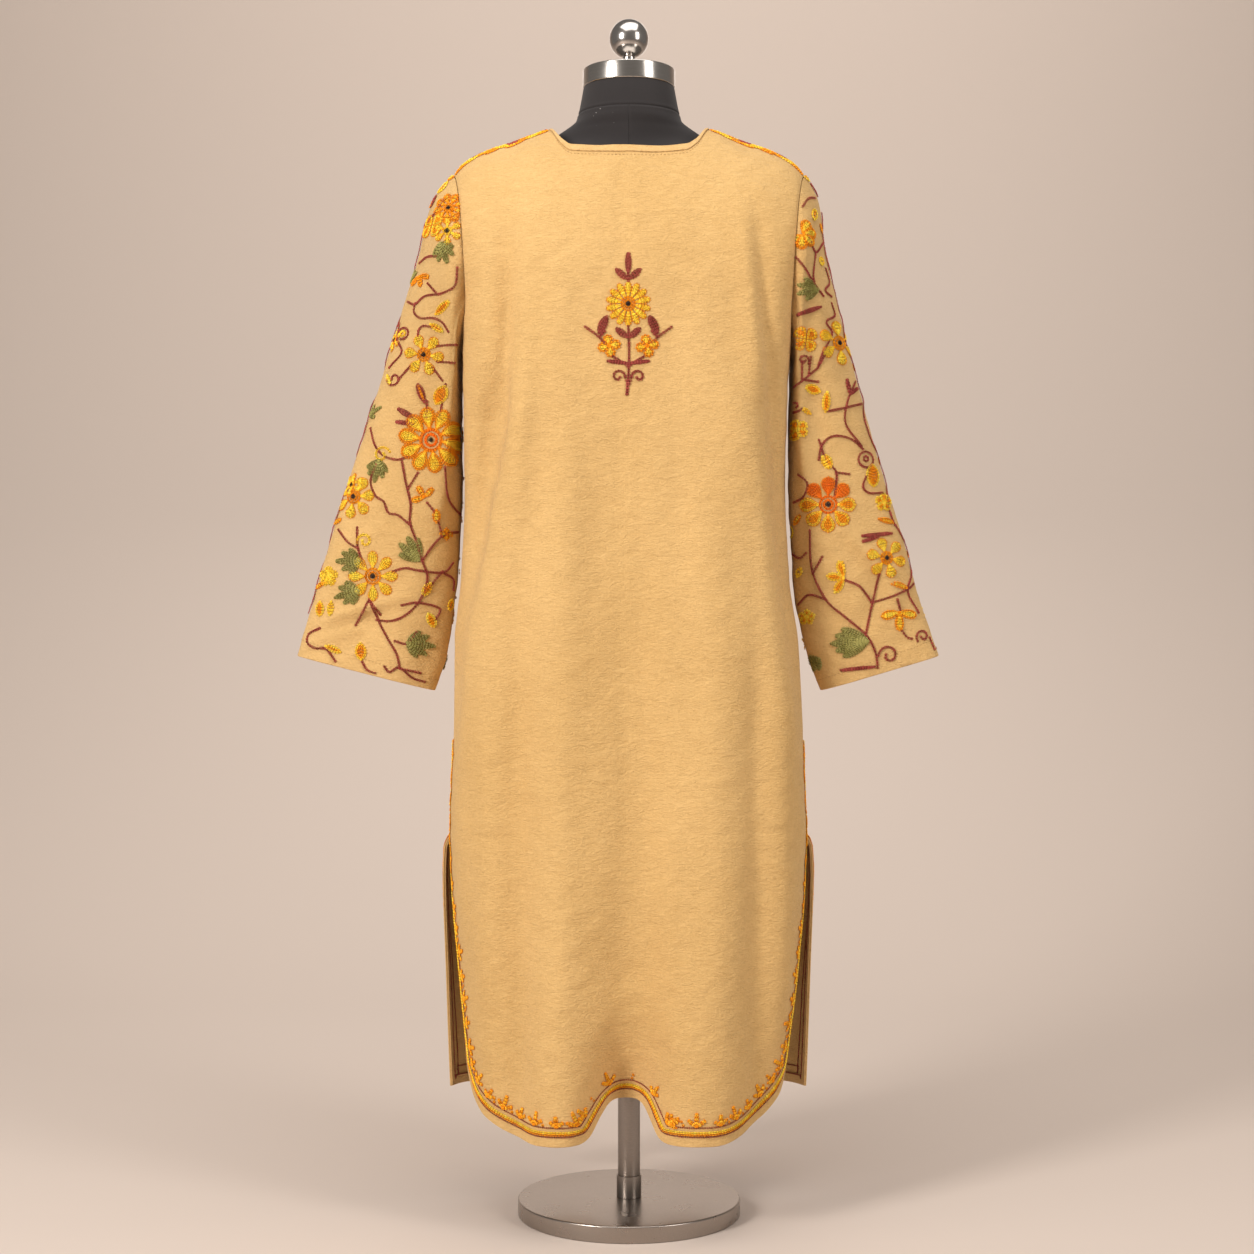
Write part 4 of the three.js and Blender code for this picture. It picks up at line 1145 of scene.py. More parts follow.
def stitch_mesh(name, strands, rings):
    """A stitch made of strands, each (start, bend, end, radius) in millimetres, running along X."""
    vertices, faces = [], []
    for start, middle, end, radius in strands:
        points, sides = spindle(start, middle, end, radius, rings)
        faces += [tuple(len(vertices) + k for k in side) for side in sides]
        vertices += points
    mesh = bpy.data.meshes.new(name)
    mesh.from_pydata((np.array(vertices) * MM).tolist(), [], faces)
    mesh.shade_smooth()
    return add_object(name, mesh)


wide_strands = [((-2.2, 0, 0.1), (-0.1, 1.9 * way, 1.6), (2.5, 0.25 * way, 0.9), 0.88) for way in (1, -1)]
fine_strands = [((-1.5, 0, 0.1), (-0.2, 1.3 * way, 1.0), (1.8, 0.1 * way, 0.6), 0.58) for way in (1, -1)]
chain_link = stitch_mesh("chain link", wide_strands, 2)
fine_link = stitch_mesh("fine chain link", fine_strands, 1)
plain_stitch = stitch_mesh("plain stitch", [((-1.6, 0, -0.3), (0, 0, 0.8), (1.6, 0, -0.3), 0.3)], 3)


def stitch_row_tree():
    """Lays a stitch at every pitch along paths, standing on the cloth and facing along the path."""
    tree = bpy.data.node_groups.new("row of stitches", "GeometryNodeTree")
    kinds = {"Geometry": "Geometry", "Stitch": "Object", "Pitch": "Float", "Wander": "Float", "Uneven": "Float"}
    kinds.update(Seed="Int", Thread="Material")
    for name, kind in kinds.items():
        tree.interface.new_socket(name, in_out="INPUT", socket_type=f"NodeSocket{kind}")
    tree.interface.new_socket("Geometry", in_out="OUTPUT", socket_type="NodeSocketGeometry")
    given = tree.nodes.new("NodeGroupInput").outputs
    line = add_node(tree, "GeometryNodeMeshToCurve", {0: given["Geometry"]}).outputs[0]
    rows = add_node(tree, "GeometryNodeResampleCurve", {"Curve": line, "Length": given["Pitch"]}, mode="LENGTH")
    stitch = add_node(tree, "GeometryNodeObjectInfo", {"Object": given["Stitch"]}).outputs["Geometry"]
    named = {"Name": "cloth_normal"}
    normal = add_node(tree, "GeometryNodeInputNamedAttribute", named, data_type="FLOAT_VECTOR")
    along = add_node(tree, "GeometryNodeInputTangent").outputs[0]
    axes = add_node(tree, "FunctionNodeAxesToRotation", primary_axis="Z", secondary_axis="X")
    tree.links.new(normal.outputs["Attribute"], axes.inputs[0])
    tree.links.new(along, axes.inputs[1])
    least = calc(tree, "SUBTRACT", 0.0, given["Wander"])
    yaw = add_node(tree, "FunctionNodeRandomValue", {2: least, 3: given["Wander"], 8: given["Seed"]})
    yaw_way = add_node(tree, "ShaderNodeCombineXYZ", {"Z": yaw.outputs[1]})
    yaw_turn = add_node(tree, "FunctionNodeEulerToRotation", {0: yaw_way.outputs[0]})
    turned_link = add_node(tree, "FunctionNodeRotateRotation", {0: axes.outputs[0], 1: yaw_turn.outputs[0]})
    turned_link.rotation_space = "LOCAL"
    small, large = [calc(tree, way, 1.0, given["Uneven"]) for way in ("SUBTRACT", "ADD")]
    size = add_node(tree, "FunctionNodeRandomValue", {2: small, 3: large, 8: given["Seed"]})
    laid = add_node(tree, "GeometryNodeInstanceOnPoints", {"Points": rows.outputs[0], "Instance": stitch})
    tree.links.new(turned_link.outputs[0], laid.inputs["Rotation"])
    tree.links.new(size.outputs[1], laid.inputs["Scale"])
    tone = add_node(tree, "FunctionNodeRandomValue", {2: 0.0, 3: 1.0, 8: given["Seed"]})
    toned = add_node(tree, "GeometryNodeStoreNamedAttribute", {"Geometry": laid.outputs[0], "Name": "tone"})
    toned.domain = "INSTANCE"
    tree.links.new(tone.outputs[1], toned.inputs["Value"])
    real = add_node(tree, "GeometryNodeRealizeInstances", {0: toned.outputs[0]}).outputs[0]
    done = add_node(tree, "GeometryNodeSetMaterial", {"Geometry": real, "Material": given["Thread"]})
    out = tree.nodes.new("NodeGroupOutput")
    tree.links.new(done.outputs[0], out.inputs[0])
    return tree


stitch_rows = stitch_row_tree()
row_inputs = {item.name: item.identifier for item in stitch_rows.interface.items_tree if item.in_out == "INPUT"}


UNEVEN = 0.10  # how much the stitches differ in size


def sew(name, lines, stitch, pitch, material, seed, wander):
    """A piece of stitches along lines, each (points, outward directions) on the cloth in millimetres."""
    vertices, edges, normals = [], [], []
    for points, outward in lines:
        start = len(vertices)
        vertices += (np.asarray(points) * MM).tolist()
        normals += np.asarray(outward).tolist()
        edges += [(start + k, start + k + 1) for k in range(len(points) - 1)]
    paths = bpy.data.meshes.new(name + "_paths")
    paths.from_pydata(vertices, edges, [])
    layer = paths.attributes.new("cloth_normal", "FLOAT_VECTOR", "POINT")
    layer.data.foreach_set("vector", np.asarray(normals, np.float32).ravel())
    holder = add_object(name + "_paths", paths)
    rows = holder.modifiers.new("rows", "NODES")
    rows.node_group = stitch_rows
    values = {"Stitch": stitch, "Pitch": pitch * MM, "Wander": wander, "Uneven": UNEVEN}
    values.update(Seed=seed, Thread=material)
    for key, value in values.items():
        rows[row_inputs[key]] = value
    graph = bpy.context.evaluated_depsgraph_get()
    mesh = bpy.data.meshes.new_from_object(
        holder.evaluated_get(graph), preserve_all_data_layers=True, depsgraph=graph
    )
    bpy.data.objects.remove(holder)
    bpy.data.meshes.remove(paths)
    mesh.name = name
    mesh.shade_smooth()
    return add_object(name, mesh)


def thread(name, dark, light):
    """Twisted wool or cotton thread, each stitch a slightly different tone."""
    material, tree, shader = new_material(name, 0.62, Specular_IOR_Level=0.18)
    place = object_place(tree)
    own_tone = add_node(tree, "ShaderNodeAttribute", attribute_name="tone").outputs["Fac"]
    mixed = calc(tree, "ADD", calc(tree, "MULTIPLY", own_tone, 0.45), noise(tree, place, 55.0))
    colour = ramp(tree, spread(tree, mixed, 0.3, 1.1), dark, light)
    feed(tree, shader, Base_Color=colour, Normal=bump(tree, noise(tree, place, 1500.0), 0.0003, 0.5))
    return material


THREADS = {
    "yellow": thread("yellow crewel wool", (1.0, 0.54, 0.012), (1.0, 0.80, 0.090)),
    "orange": thread("orange crewel wool", (0.88, 0.25, 0.005), (0.99, 0.41, 0.014)),
    "amber": thread("amber crewel wool", (0.62, 0.20, 0.005), (0.80, 0.31, 0.010)),
    "flame": thread("flame crewel wool", (0.86, 0.14, 0.006), (0.96, 0.24, 0.012)),
    "maroon": thread("maroon crewel wool", (0.24, 0.034, 0.026), (0.46, 0.095, 0.070)),
    "green": thread("olive crewel wool", (0.21, 0.185, 0.036), (0.43, 0.385, 0.125)),
    "dark": thread("near-black crewel wool", (0.014, 0.010, 0.010), (0.040, 0.028, 0.028)),
    "sewing": thread("sewing thread", (0.34, 0.19, 0.070), (0.48, 0.28, 0.110)),
}
THREAD_SLOTS = {"amber": "orange_thread", "flame": "orange_thread", "sewing": "sewing_thread"}


def walked(points):
    """The distance to each point along a line."""
    return np.concatenate([[0], np.cumsum(np.linalg.norm(np.diff(points, axis=0), axis=1))])


def fine_line(points, step=2.0):
    """A polyline with extra points, so that no two are further apart than the step."""
    points = np.asarray(points, float)
    lengths = walked(points)
    at = np.linspace(0, lengths[-1], max(2, int(lengths[-1] / step) + 2))
    return np.stack([np.interp(at, lengths, points[:, k]) for k in range(points.shape[1])], 1)


def outer_tree(grid):
    """The grid's outer face, ready for finding where a needle meets it."""
    rows, columns = grid["points"].shape[:2]
    number = np.arange(rows * columns).reshape(rows, columns)
    right = np.roll(number, -1, 1)
    last = columns if grid["closed"] else columns - 1
    faces = np.stack([number[:-1, :last], right[:-1, :last], right[1:, :last], number[1:, :last]], -1)
    faces = faces.reshape(-1, 4)
    if grid["flip"] < 0:
        faces = faces[:, ::-1]
    return BVHTree.FromPolygons(grid["points"].reshape(-1, 3).tolist(), faces.tolist())


def on_skirt(panel, tree, lift=0.25, inside=None):
    """Maps points on a panel's flat cut, (distance across, height), to its outer face.

    With inside given they go to its inner face instead, this far past it."""

    def lay(points):
        u, z = points[:, 0], points[:, 1]

        def place(du, dz):
            height = np.clip(z + dz, HEM, CHEST)
            half_length = level_arc(panel, height)["length"]
            return skirt_point(panel, np.clip((u + du) / half_length, -1, 1), height)[0]

        across = place(0.5, 0) - place(-0.5, 0)
        up = place(0, 0.5) - place(0, -0.5)
        outward = unit(np.cross(across, up) * -panel["facing"])
        places, normals = [], []
        for here, way in zip(place(0, 0), outward):
            hit, normal, _, _ = tree.ray_cast(Vector(here + way * 25), Vector(-way))
            hit, normal = (hit, normal) if hit else (Vector(here), Vector(way))
            places.append(tuple(hit + normal * (lift if inside is None else -CLOTH - inside - lift)))
            normals.append(tuple(normal if inside is None else -normal))
        return np.array(places), np.array(normals), np.ones(len(u), bool)

    return lay


def by_needle(tree, start, way, lift=0.25):
    """Maps drawn points to the cloth by a needle from each: start says where it comes from."""

    def lay(points):
        places, normals, found = [], [], []
        for a, b in points:
            hit, normal, _, _ = tree.ray_cast(Vector(start(a, b)), Vector(way))
            found.append(hit is not None and normal.dot(Vector(way)) < -0.12)
            places.append(tuple(hit + normal * lift) if hit else (0, 0, 0))
            normals.append(tuple(normal) if hit else (0, 0, 1))
        return np.array(places), np.array(normals), np.array(found)

    return lay


RAISED = {"dark": 0.9}  # threads worked on top of others


def lay_lines(strokes, lay, lines):
    """Lays strokes, each (colour, points), on the cloth and adds them to the lines of their colour."""
    for colour, points in strokes:
        places, normals, found = lay(fine_line(points))
        jump = np.linalg.norm(np.diff(places, axis=0), axis=1) > 12
        start = 0
        for k in range(1, len(places) + 1):
            if k == len(places) or jump[k - 1] or not found[k]:
                if k - start > 1 and found[start:k].all():
                    raised = places[start:k] + normals[start:k] * RAISED.get(colour, 0)
                    lines.setdefault(colour, []).append((raised, normals[start:k]))
                start = k if k == len(places) or found[k] else k + 1


# ---------------------------------------------------------------- drawing for the embroiderer
# Motifs are drawn flat, as the pricked pattern on the cloth: petals, leaves, buds, stems and curls.
# Turns are in degrees from upright towards the wearer's left, and lengths are in millimetres.
WOOL_WIDTH = 3.0  # width of a row of chain stitch


def turned_by(points, turn, x=0.0, z=0.0):
    """Points drawn upright at the origin, turned and moved to a place."""
    a = math.radians(turn)
    points = np.asarray(points, float)
    across, up = points[:, 0], points[:, 1]
    cosine, sine = math.cos(a), math.sin(a)
    return np.stack([x + across * cosine + up * sine, z - across * sine + up * cosine], 1)


def curve(*points):
    """A smooth line through a few points."""
    p = np.array(points, float)
    if len(p) < 3:
        return p
    padded = np.concatenate([[2 * p[0] - p[1]], p, [2 * p[-1] - p[-2]]])
    out = []
    for a, b, c, d in zip(padded, padded[1:], padded[2:], padded[3:]):
        q = np.linspace(0, 1, 9)[:-1, None]
        square, cube = 2 * a - 5 * b + 4 * c - d, 3 * b - a - 3 * c + d
        out.append(0.5 * (2 * b + (c - a) * q + square * q**2 + cube * q**3))
    return np.concatenate([*out, p[-1:]])


def almond(length, width, fullness=0.0):
    """A petal or leaf outline from its base and back; fullness above 0 makes it wider towards the tip."""
    t = np.linspace(0, 1, 11)
    side = width / 2 * np.sin(np.pi * t ** (1 + fullness)) ** 0.62
    y = length * t
    return np.concatenate([np.stack([side, y], 1), np.stack([-side, y], 1)[-2::-1]])


def filled_almond(length, width, outer, inner, fullness=0.0, edge=None):
    """Rows of chain stitch inside each other, with a row up the middle where there is room and a fine edge."""
    strokes = []
    inset = WOOL_WIDTH / 2
    if edge:
        strokes.append((edge, almond(length - 1.2, width - 1.2, fullness) + np.array([0, 0.6])))
        inset += 1.1
    colour = outer
    while width - 2 * inset > WOOL_WIDTH * 0.5:
        rows = almond(length - 1.6 * inset, width - 2 * inset, fullness)
        strokes.append((colour, rows + np.array([0, 0.8 * inset])))
        inset += WOOL_WIDTH * 0.92
        colour = inner
    if width - 2 * inset > -WOOL_WIDTH * 0.8 or len(strokes) < 2:
        strokes.append((colour, np.array([(0, min(0.3 * length, inset)), (0, length - inset)])))
    return strokes


def place_strokes(strokes, turn, x, z):
    return [(colour, turned_by(points, turn, x, z)) for colour, points in strokes]


def ring_line(radius, x=0.0, z=0.0, share=1.0, start=0.0):
    t = np.radians(start) + np.linspace(0, 2 * np.pi * share, 15)
    return np.stack([x + radius * np.sin(t), z + radius * np.cos(t)], 1)


def flower(x, z, radius, petals, outer="yellow", inner="yellow", heart="orange", turn=0, only=None, width=1.0):
    """Petals round a heart: a ring or two of another colour and a dark knot in the middle."""
    strokes = []
    core = radius * (0.32 if heart else 0.06)
    packed = 0.84 if petals < 12 else 0.7  # the share of the circle that petals fill
    fits = 2 * math.pi * radius * packed / petals
    broad = min(fits, (0.78 if heart else 0.98) * (radius - core)) * width
    for k in range(petals):
        if only is not None and k not in only:
            continue
        around = turn + 360 * k / petals
        petal = filled_almond(radius - core, broad, outer, inner, 0.55, "edge" if radius > 14 else None)
        base = turned_by([(0, core)], around, x, z)[0]
        strokes += place_strokes(petal, around, *base)
    if heart:
        strokes += [(heart, ring_line(core - 0.8, x, z)), (heart, ring_line(core * 0.5, x, z))]
        strokes += [("dark", ring_line(1.5, x, z)), ("dark", np.array([(x - 1.4, z), (x + 1.6, z)]))]
    return strokes


def leaf(x, z, length, turn, outer="green", inner="green", lobes=(-58, -30, 0, 30, 58)):
    """A lobed leaf: fingers of thread that fan out from the stalk, the middle one longest."""
    strokes = []
    for lobe in lobes:
        reach = length * (1.1 - 0.0066 * abs(lobe))
        finger = filled_almond(reach, length * 0.3, outer, inner, 0.2)
        strokes += place_strokes(finger, turn + lobe * 0.82, x, z)
    return strokes


def bud(x, z, length, turn, outer="yellow", inner="orange", width=0.55):
    return place_strokes(filled_almond(length, length * width, outer, inner), turn, x, z)


def maroon_bud(x, z, length, turn, width):
    return bud(x, z, length, turn, "maroon", "maroon", width)


def trefoil(x, z, length, turn, outer="orange", inner="yellow", opening=62):
    """Three petals that open from one point."""
    strokes = []
    for lobe in (-opening, 0, opening):
        strokes += place_strokes(filled_almond(length, length * 0.5, outer, inner, 0.3), turn + lobe, x, z)
    return strokes


def stem(*points):
    return [("maroon", curve(*points))]


def drawing(*parts):
    """All strokes of a drawing's parts, in the order in which they are worked."""
    return [stroke for part in parts for stroke in part]


def curl(x, z, radius, turn, hand=1, colour="maroon", turns=1.05):
    """A spiral that winds inwards from its foot at a place."""
    t = np.linspace(0, 1, 26)
    way = 2 * np.pi * turns * t
    r = radius * (1 - 0.72 * t)
    spiral = np.stack([hand * (radius - r * np.cos(way)), r * np.sin(way)], 1)
    return [(colour, turned_by(spiral, turn, x, z))]


# ---------------------------------------------------------------- embroidery on the back
# A single upright sprig between the shoulder blades, worked the same on both sides of its stalk: a sunflower
# with a knotted heart, leaves, two four-petalled flowers and a pair of scrolls at the foot.
SPRIG_LIFT = 7  # the whole sprig stands this much higher than it is drawn


def back_sprig():
    strokes = drawing(
        flower(1, 1123, 28, 14), maroon_bud(1, 1160, 27, 0, 0.3), stem((1, 1150), (1, 1162)),
        stem((1, 1096), (0, 1060), (2, 1014)), stem((0, 1048), (3, 1014)),
    )
    for hand in (1, -1):
        strokes += drawing(
            maroon_bud(1 + hand, 1153, 20, 48 * hand, 0.44), maroon_bud(1 + hand, 1082, 19, 50 * hand, 0.46),
            maroon_bud(1 + 36 * hand, 1087, 25, -26 * hand, 0.44),
            stem((1 + 52 * hand, 1095), (1 + 38 * hand, 1085), (1 + 29 * hand, 1076)),
            maroon_bud(1 + 35 * hand, 1083, 13, -40 * hand, 0.36),
            flower(1 + 23 * hand, 1072, 14, 4, "orange", "yellow", None, turn=12),
            stem((1 + 20 * hand, 1060), (1 + 10 * hand, 1054), (1, 1047)),
            maroon_bud(1, 1051, 27, 84 * hand, 0.2), stem((1 + hand, 1026), (1 + 4 * hand, 1034)),
            curl(1 + 4 * hand, 1036, 8.4, 8 * hand, hand, turns=0.9),
        )
    return place_strokes(strokes, 0, 0, SPRIG_LIFT)


SHOULDER_PETALS = ((110, 19), (124, 14), (139, 20), (154, 15), (169, 21), (184, 16), (198, 18))
PETAL_COLOURS = (("yellow", "orange"), ("orange", "yellow"), ("maroon", "maroon"))
ROW_COLOURS = (("orange", "yellow"), ("yellow", "orange"), ("orange", "amber"))
SHOULDER_STEM = ((104, 10), (124, 9), (146, 12), (168, 8), (192, 10), (206, 14))


def shoulder_half(hand, facing):
    """The part of the same branch that lies on top of the shoulder, seen from above (x, y)."""
    strokes = []
    for k, (x, y) in enumerate(SHOULDER_PETALS):
        outer, inner = PETAL_COLOURS[k % 3]
        large, small = filled_almond(16, 7.5, outer, inner), filled_almond(13, 6, inner, outer)
        strokes += place_strokes(large, hand * (70 + 25 * (k % 2)), hand * x, facing * y)
        strokes += place_strokes(small, hand * 110, hand * (x - 3), facing * (y - 8))
    for k in range(9):
        outer, inner = ROW_COLOURS[k % 3]
        place = hand * (101 + 12.5 * k), facing * (27 + 3 * (k % 2))
        strokes += place_strokes(filled_almond(17, 8, outer, inner), hand * (84, 97, 76)[k % 3], *place)
    return strokes + stem(*[(hand * x, facing * y) for x, y in SHOULDER_STEM])


# The border runs round the slits and the hem of both panels: a dark line, a band of two rows, a second dark
# line, and small leafy sprigs that stand on it.
BORDER_TOP = 596  # height at which it starts on each side
SPRIG_PITCH = 28
SPRIG_HEIGHTS = (18, 15, 19, 14)
SPRIG_FOOT = 12.0  # from the outer line to where the sprigs stand
BORDER_MARGINS = (7.5, 11.5)  # from the edge to the outer line, up the slits and along the hem
BORDER_LINE = 10.8  # from the outer line to the inner one


def edge_path(panel):
    """A panel's free edge on the flat cut, from the right slit round to the left, with inward directions."""
    foot = float(level_arc(panel, np.array(float(HEM + CORNER["up"])))["length"])
    s = np.sin(np.linspace(-1, 1, 400) * np.pi / 2)
    z = HEM + hem_rise(panel, s * foot, foot)
    bottom = np.stack([s * level_arc(panel, z)["length"], z], 1)
    rising = np.linspace(z[-1], BORDER_TOP, 120)[1:]
    right_side = np.stack([level_arc(panel, rising)["length"], rising], 1)
    left_side = right_side[::-1] * np.array([-1, 1])
    path = fine_line(np.concatenate([left_side, bottom, right_side]), 2.0)
    for _ in range(12):
        path[1:-1] = (path[:-2] + 2 * path[1:-1] + path[2:]) / 4
    way = np.gradient(path, axis=0)
    inward = unit(np.stack([-way[:, 1], way[:, 0]], 1))
    return path, inward, walked(path), mix(*BORDER_MARGINS, np.abs(inward[:, 1]) ** 2)


def border(panel):
    path, inward, lengths, margin = edge_path(panel)

    def along(distance):
        return path + inward * (margin + distance)[:, None]

    strokes = [("line", along(0)), ("line", along(BORDER_LINE)), ("orange", along(2.7)), ("yellow", along(4.9))]
    count = int(lengths[-1] / SPRIG_PITCH)
    for k in range(count):
        at = (k + 0.5) * lengths[-1] / count
        centre = [np.interp(at, lengths, along(SPRIG_FOOT)[:, c]) for c in (0, 1)]
        way = [np.interp(at, lengths, inward[:, c]) for c in (0, 1)]
        turn = math.degrees(math.atan2(way[0], way[1]))
        tall = SPRIG_HEIGHTS[k % 4]
        middle = filled_almond(tall, 5.4, "orange", "yellow")
        strokes += place_strokes(middle, turn + (6, -5, 0)[k % 3], *centre)
        for lean in (-50, 50):
            small = filled_almond(tall * 0.76, 5.2, "orange", "yellow")
            strokes += place_strokes(small, turn + lean, *centre)
        beside = [np.interp(at + SPRIG_PITCH / 2, lengths, along(SPRIG_FOOT)[:, c]) for c in (0, 1)]
        if k % 3 != 1:
            strokes += place_strokes(filled_almond(7.5, 4.0, "orange", "orange"), turn + 25, *beside)
    return strokes


back_tree = outer_tree(back_grid)
front_tree = outer_tree(front_grid)
BEYOND = 700  # where needles start from, outside the garment
from_behind = ((lambda x, z: (x, BEYOND, z)), (0, -1, 0))
from_before = ((lambda x, z: (x, -BEYOND, z)), (0, 1, 0))
from_above = ((lambda x, y: (x, y, 2 * BEYOND)), (0, 0, -1))


# Thread, stitch, pitch and wander of the kinds of line that aren't plain chain stitch in their own colour.
LINE_KINDS = {
    "line": ("maroon", fine_link, 2.7, 0.05),
    "edge": ("orange", fine_link, 2.9, 0.05),
    "sewing": ("sewing", plain_stitch, 4.6, 0.05),
}


def embroider(name, lines, seed):
    """One piece of stitches for each kind of line."""
    made = []
    for k, (kind, rows) in enumerate(sorted(lines.items())):
        ink, stitch, pitch, wander = LINE_KINDS.get(kind, (kind, chain_link, 3.4, 0.12))
        piece = sew(f"{name}_{kind}_stitches", rows, stitch, pitch, THREADS[ink], seed + k, wander)
        own(piece, THREAD_SLOTS.get(ink, f"{ink}_thread"))
        made.append(piece)
    return made


back_lines = {}
lay_lines(back_sprig(), by_needle(back_tree, *from_behind), back_lines)
lay_lines(border(BACK), on_skirt(BACK, back_tree), back_lines)
for hand in (1, -1):
    lay_lines(shoulder_half(hand, 1), by_needle(back_tree, *from_above), back_lines)


# Plain topstitching holds the turned hem, the slits and the neck band.
def neck_topstitch(grid):
    """A row just below the neck band."""
    row = len(grid["over"]) - 6
    keep = np.abs(grid["places"]) < NECK_SIDE - 0.005
    return grid["points"][row][keep] + grid["normals"][row][keep] * 0.2, grid["normals"][row][keep]


def hem_inside(panel, tree, lines):
    """What shows on the wrong side: the row along the turned edge and the backs of the border's dark lines."""
    path, inward, _, margin = edge_path(panel)
    over_fold, bare = on_skirt(panel, tree, 0.05, SEAM + BAND), on_skirt(panel, tree, 0.05, 0.0)
    keep = path[:, 1] < SLIT_TOP - 6
    for colour, distance, lay in (("sewing", TURN_UP - 2.0, over_fold), ("line", margin, over_fold)):
        places, normals, _ = lay((path + inward * np.reshape(distance, (-1, 1)))[keep])
        lines.setdefault(colour, []).append((places, normals))
    places, normals, _ = bare((path + inward * (margin + BORDER_LINE)[:, None])[keep])
    lines.setdefault("line", []).append((places, normals))


back_lines["sewing"] = [neck_topstitch(back_grid)]
hem_inside(BACK, back_tree, back_lines)
trims["back_panel"] += embroider("back", back_lines, 11)


# ---------------------------------------------------------------- embroidery on the sleeves
# Vines climb each sleeve from the cuff to the shoulder, with daisies, buds, lobed leaves and curls between
# them, all in crewel wool. The fronts carry the other sleeve's drawing, turned over.
def left_drawing():
    """The left sleeve's drawing as seen from behind, in distances from the middle of the back."""
    return drawing(
        stem((229, 1268), (240, 1254), (250, 1246)), bud(212, 1312, 20, 132, "orange", "yellow", 0.5),
        bud(226, 1297, 20, 140, width=0.5), maroon_bud(240, 1280, 17, 148, 0.34),
        bud(246, 1268, 15, 40, "orange", "yellow", 0.6), flower(222, 1256, 21, 9, "orange", turn=10),
        flower(244, 1238, 17, 4, "yellow", "orange", None, turn=30), flower(223, 1226, 18, 6, heart="yellow"),
        leaf(232, 1212, 27, 200), stem((236, 1196), (250, 1199), (262, 1195)),
        trefoil(261, 1177, 16, 190, inner="orange"),
        stem((211, 1180), (214, 1158), (230, 1150), (252, 1149), (266, 1141), (277, 1147)),
        stem((249, 1165), (238, 1152)),
        stem((266, 1142), (267, 1131), (258, 1122), (242, 1121), (230, 1115), (223, 1104)),
        bud(239, 1125, 25, -50, width=0.42), bud(246, 1114, 20, 240, width=0.42),
        stem((260, 1096), (261, 1106), (255, 1112), (245, 1110)),
        [("maroon", ring_line(7.5, 282, 1106, 0.9, 150)), ("yellow", ring_line(3.4, 282, 1106))],
        stem((288, 1121), (290, 1100), (283, 1082), (300, 1065)), flower(254, 1077, 26, 6, turn=20),
        stem((238, 1087), (213, 1088)), stem((237, 1068), (216, 1066)), stem((272, 1063), (286, 1049)),
        stem((244, 1062), (231, 1045)), curl(303, 1052, 10, 165),
        bud(303, 1056, 15, 200, "yellow", "yellow", 0.4), bud(254, 1018, 26, 20, "maroon", width=0.36),
        bud(240, 1016, 26, -30, width=0.7), stem((251, 1020), (252, 1000)), stem((227, 1040), (235, 1001)),
        maroon_bud(266, 998, 27, 58, 0.3), maroon_bud(268, 992, 24, 82, 0.26),
        flower(246, 972, 42, 10, "orange", heart="flame", turn=8, width=0.9),
        [("flame", ring_line(7.5, 246, 972)), ("orange", ring_line(14, 246, 972))],
        curl(298, 958, 11, 20, colour="yellow"),
        stem((324, 989), (318, 968), (307, 954), (290, 948), (276, 951)),
        stem((315, 943), (323, 922), (316, 903), (306, 896), (300, 882), (288, 879), (272, 866)),
        leaf(312, 948, 27, 168), stem((283, 948), (278, 920), (272, 893), (273, 870), (265, 846), (258, 822)),
        stem((275, 912), (263, 931)), flower(345, 903, 28, 7, turn=15), trefoil(255, 901, 17, 30, opening=75),
        stem((251, 894), (243, 884)), bud(240, 886, 17, 180, "orange", "yellow", 0.62),
        stem((238, 872), (234, 853)), stem((229, 938), (226, 900), (211, 878)),
        stem((258, 822), (246, 840), (231, 855), (212, 860)), flower(229, 856, 8, 4, "orange", heart=None),
        leaf(262, 822, 34, 35, lobes=(-40, -12, 16, 44)), curl(340, 845, 10, 10, -1, "yellow"),
        stem((340, 864), (339, 840), (331, 816)), stem((365, 862), (352, 846), (339, 838)),
        leaf(336, 822, 30, 90), flower(320, 803, 32, 8, turn=0, width=0.8),
        stem((295, 809), (279, 813), (262, 810), (233, 808), (222, 820)),
        stem((258, 822), (252, 800), (262, 772), (280, 754), (298, 747), (316, 748)),
        stem((234, 809), (248, 792)), bud(248, 795, 19, 150, width=0.6),
        stem((234, 808), (222, 800), (222, 787)), flower(377, 803, 13, 5, heart=None),
        leaf(338, 786, 30, 108), stem((284, 767), (264, 770), (238, 763), (242, 750)),
        bud(252, 757, 20, 205, width=0.6), bud(388, 772, 20, 180, width=0.62),
        bud(373, 772, 19, 176, "yellow", "yellow", 0.5), stem((325, 774), (342, 742)),
        stem((325, 774), (312, 756)), stem((325, 774), (314, 748), (302, 725), (291, 706), (287, 688)),
        stem((293, 722), (278, 719), (266, 733)), leaf(278, 720, 32, 262),
        stem((306, 690), (300, 683), (288, 689), (272, 676), (257, 671)), stem((288, 688), (262, 682)),
        stem((388, 738), (402, 731), (404, 720), (394, 713), (380, 712), (368, 697)),
        bud(381, 716, 22, -112, width=0.42), bud(335, 698, 22, 4, width=0.66),
        stem((334, 696), (328, 686), (318, 682)), bud(222, 725, 20, 185, width=0.5),
        bud(224, 775, 16, 170, width=0.5),
    )


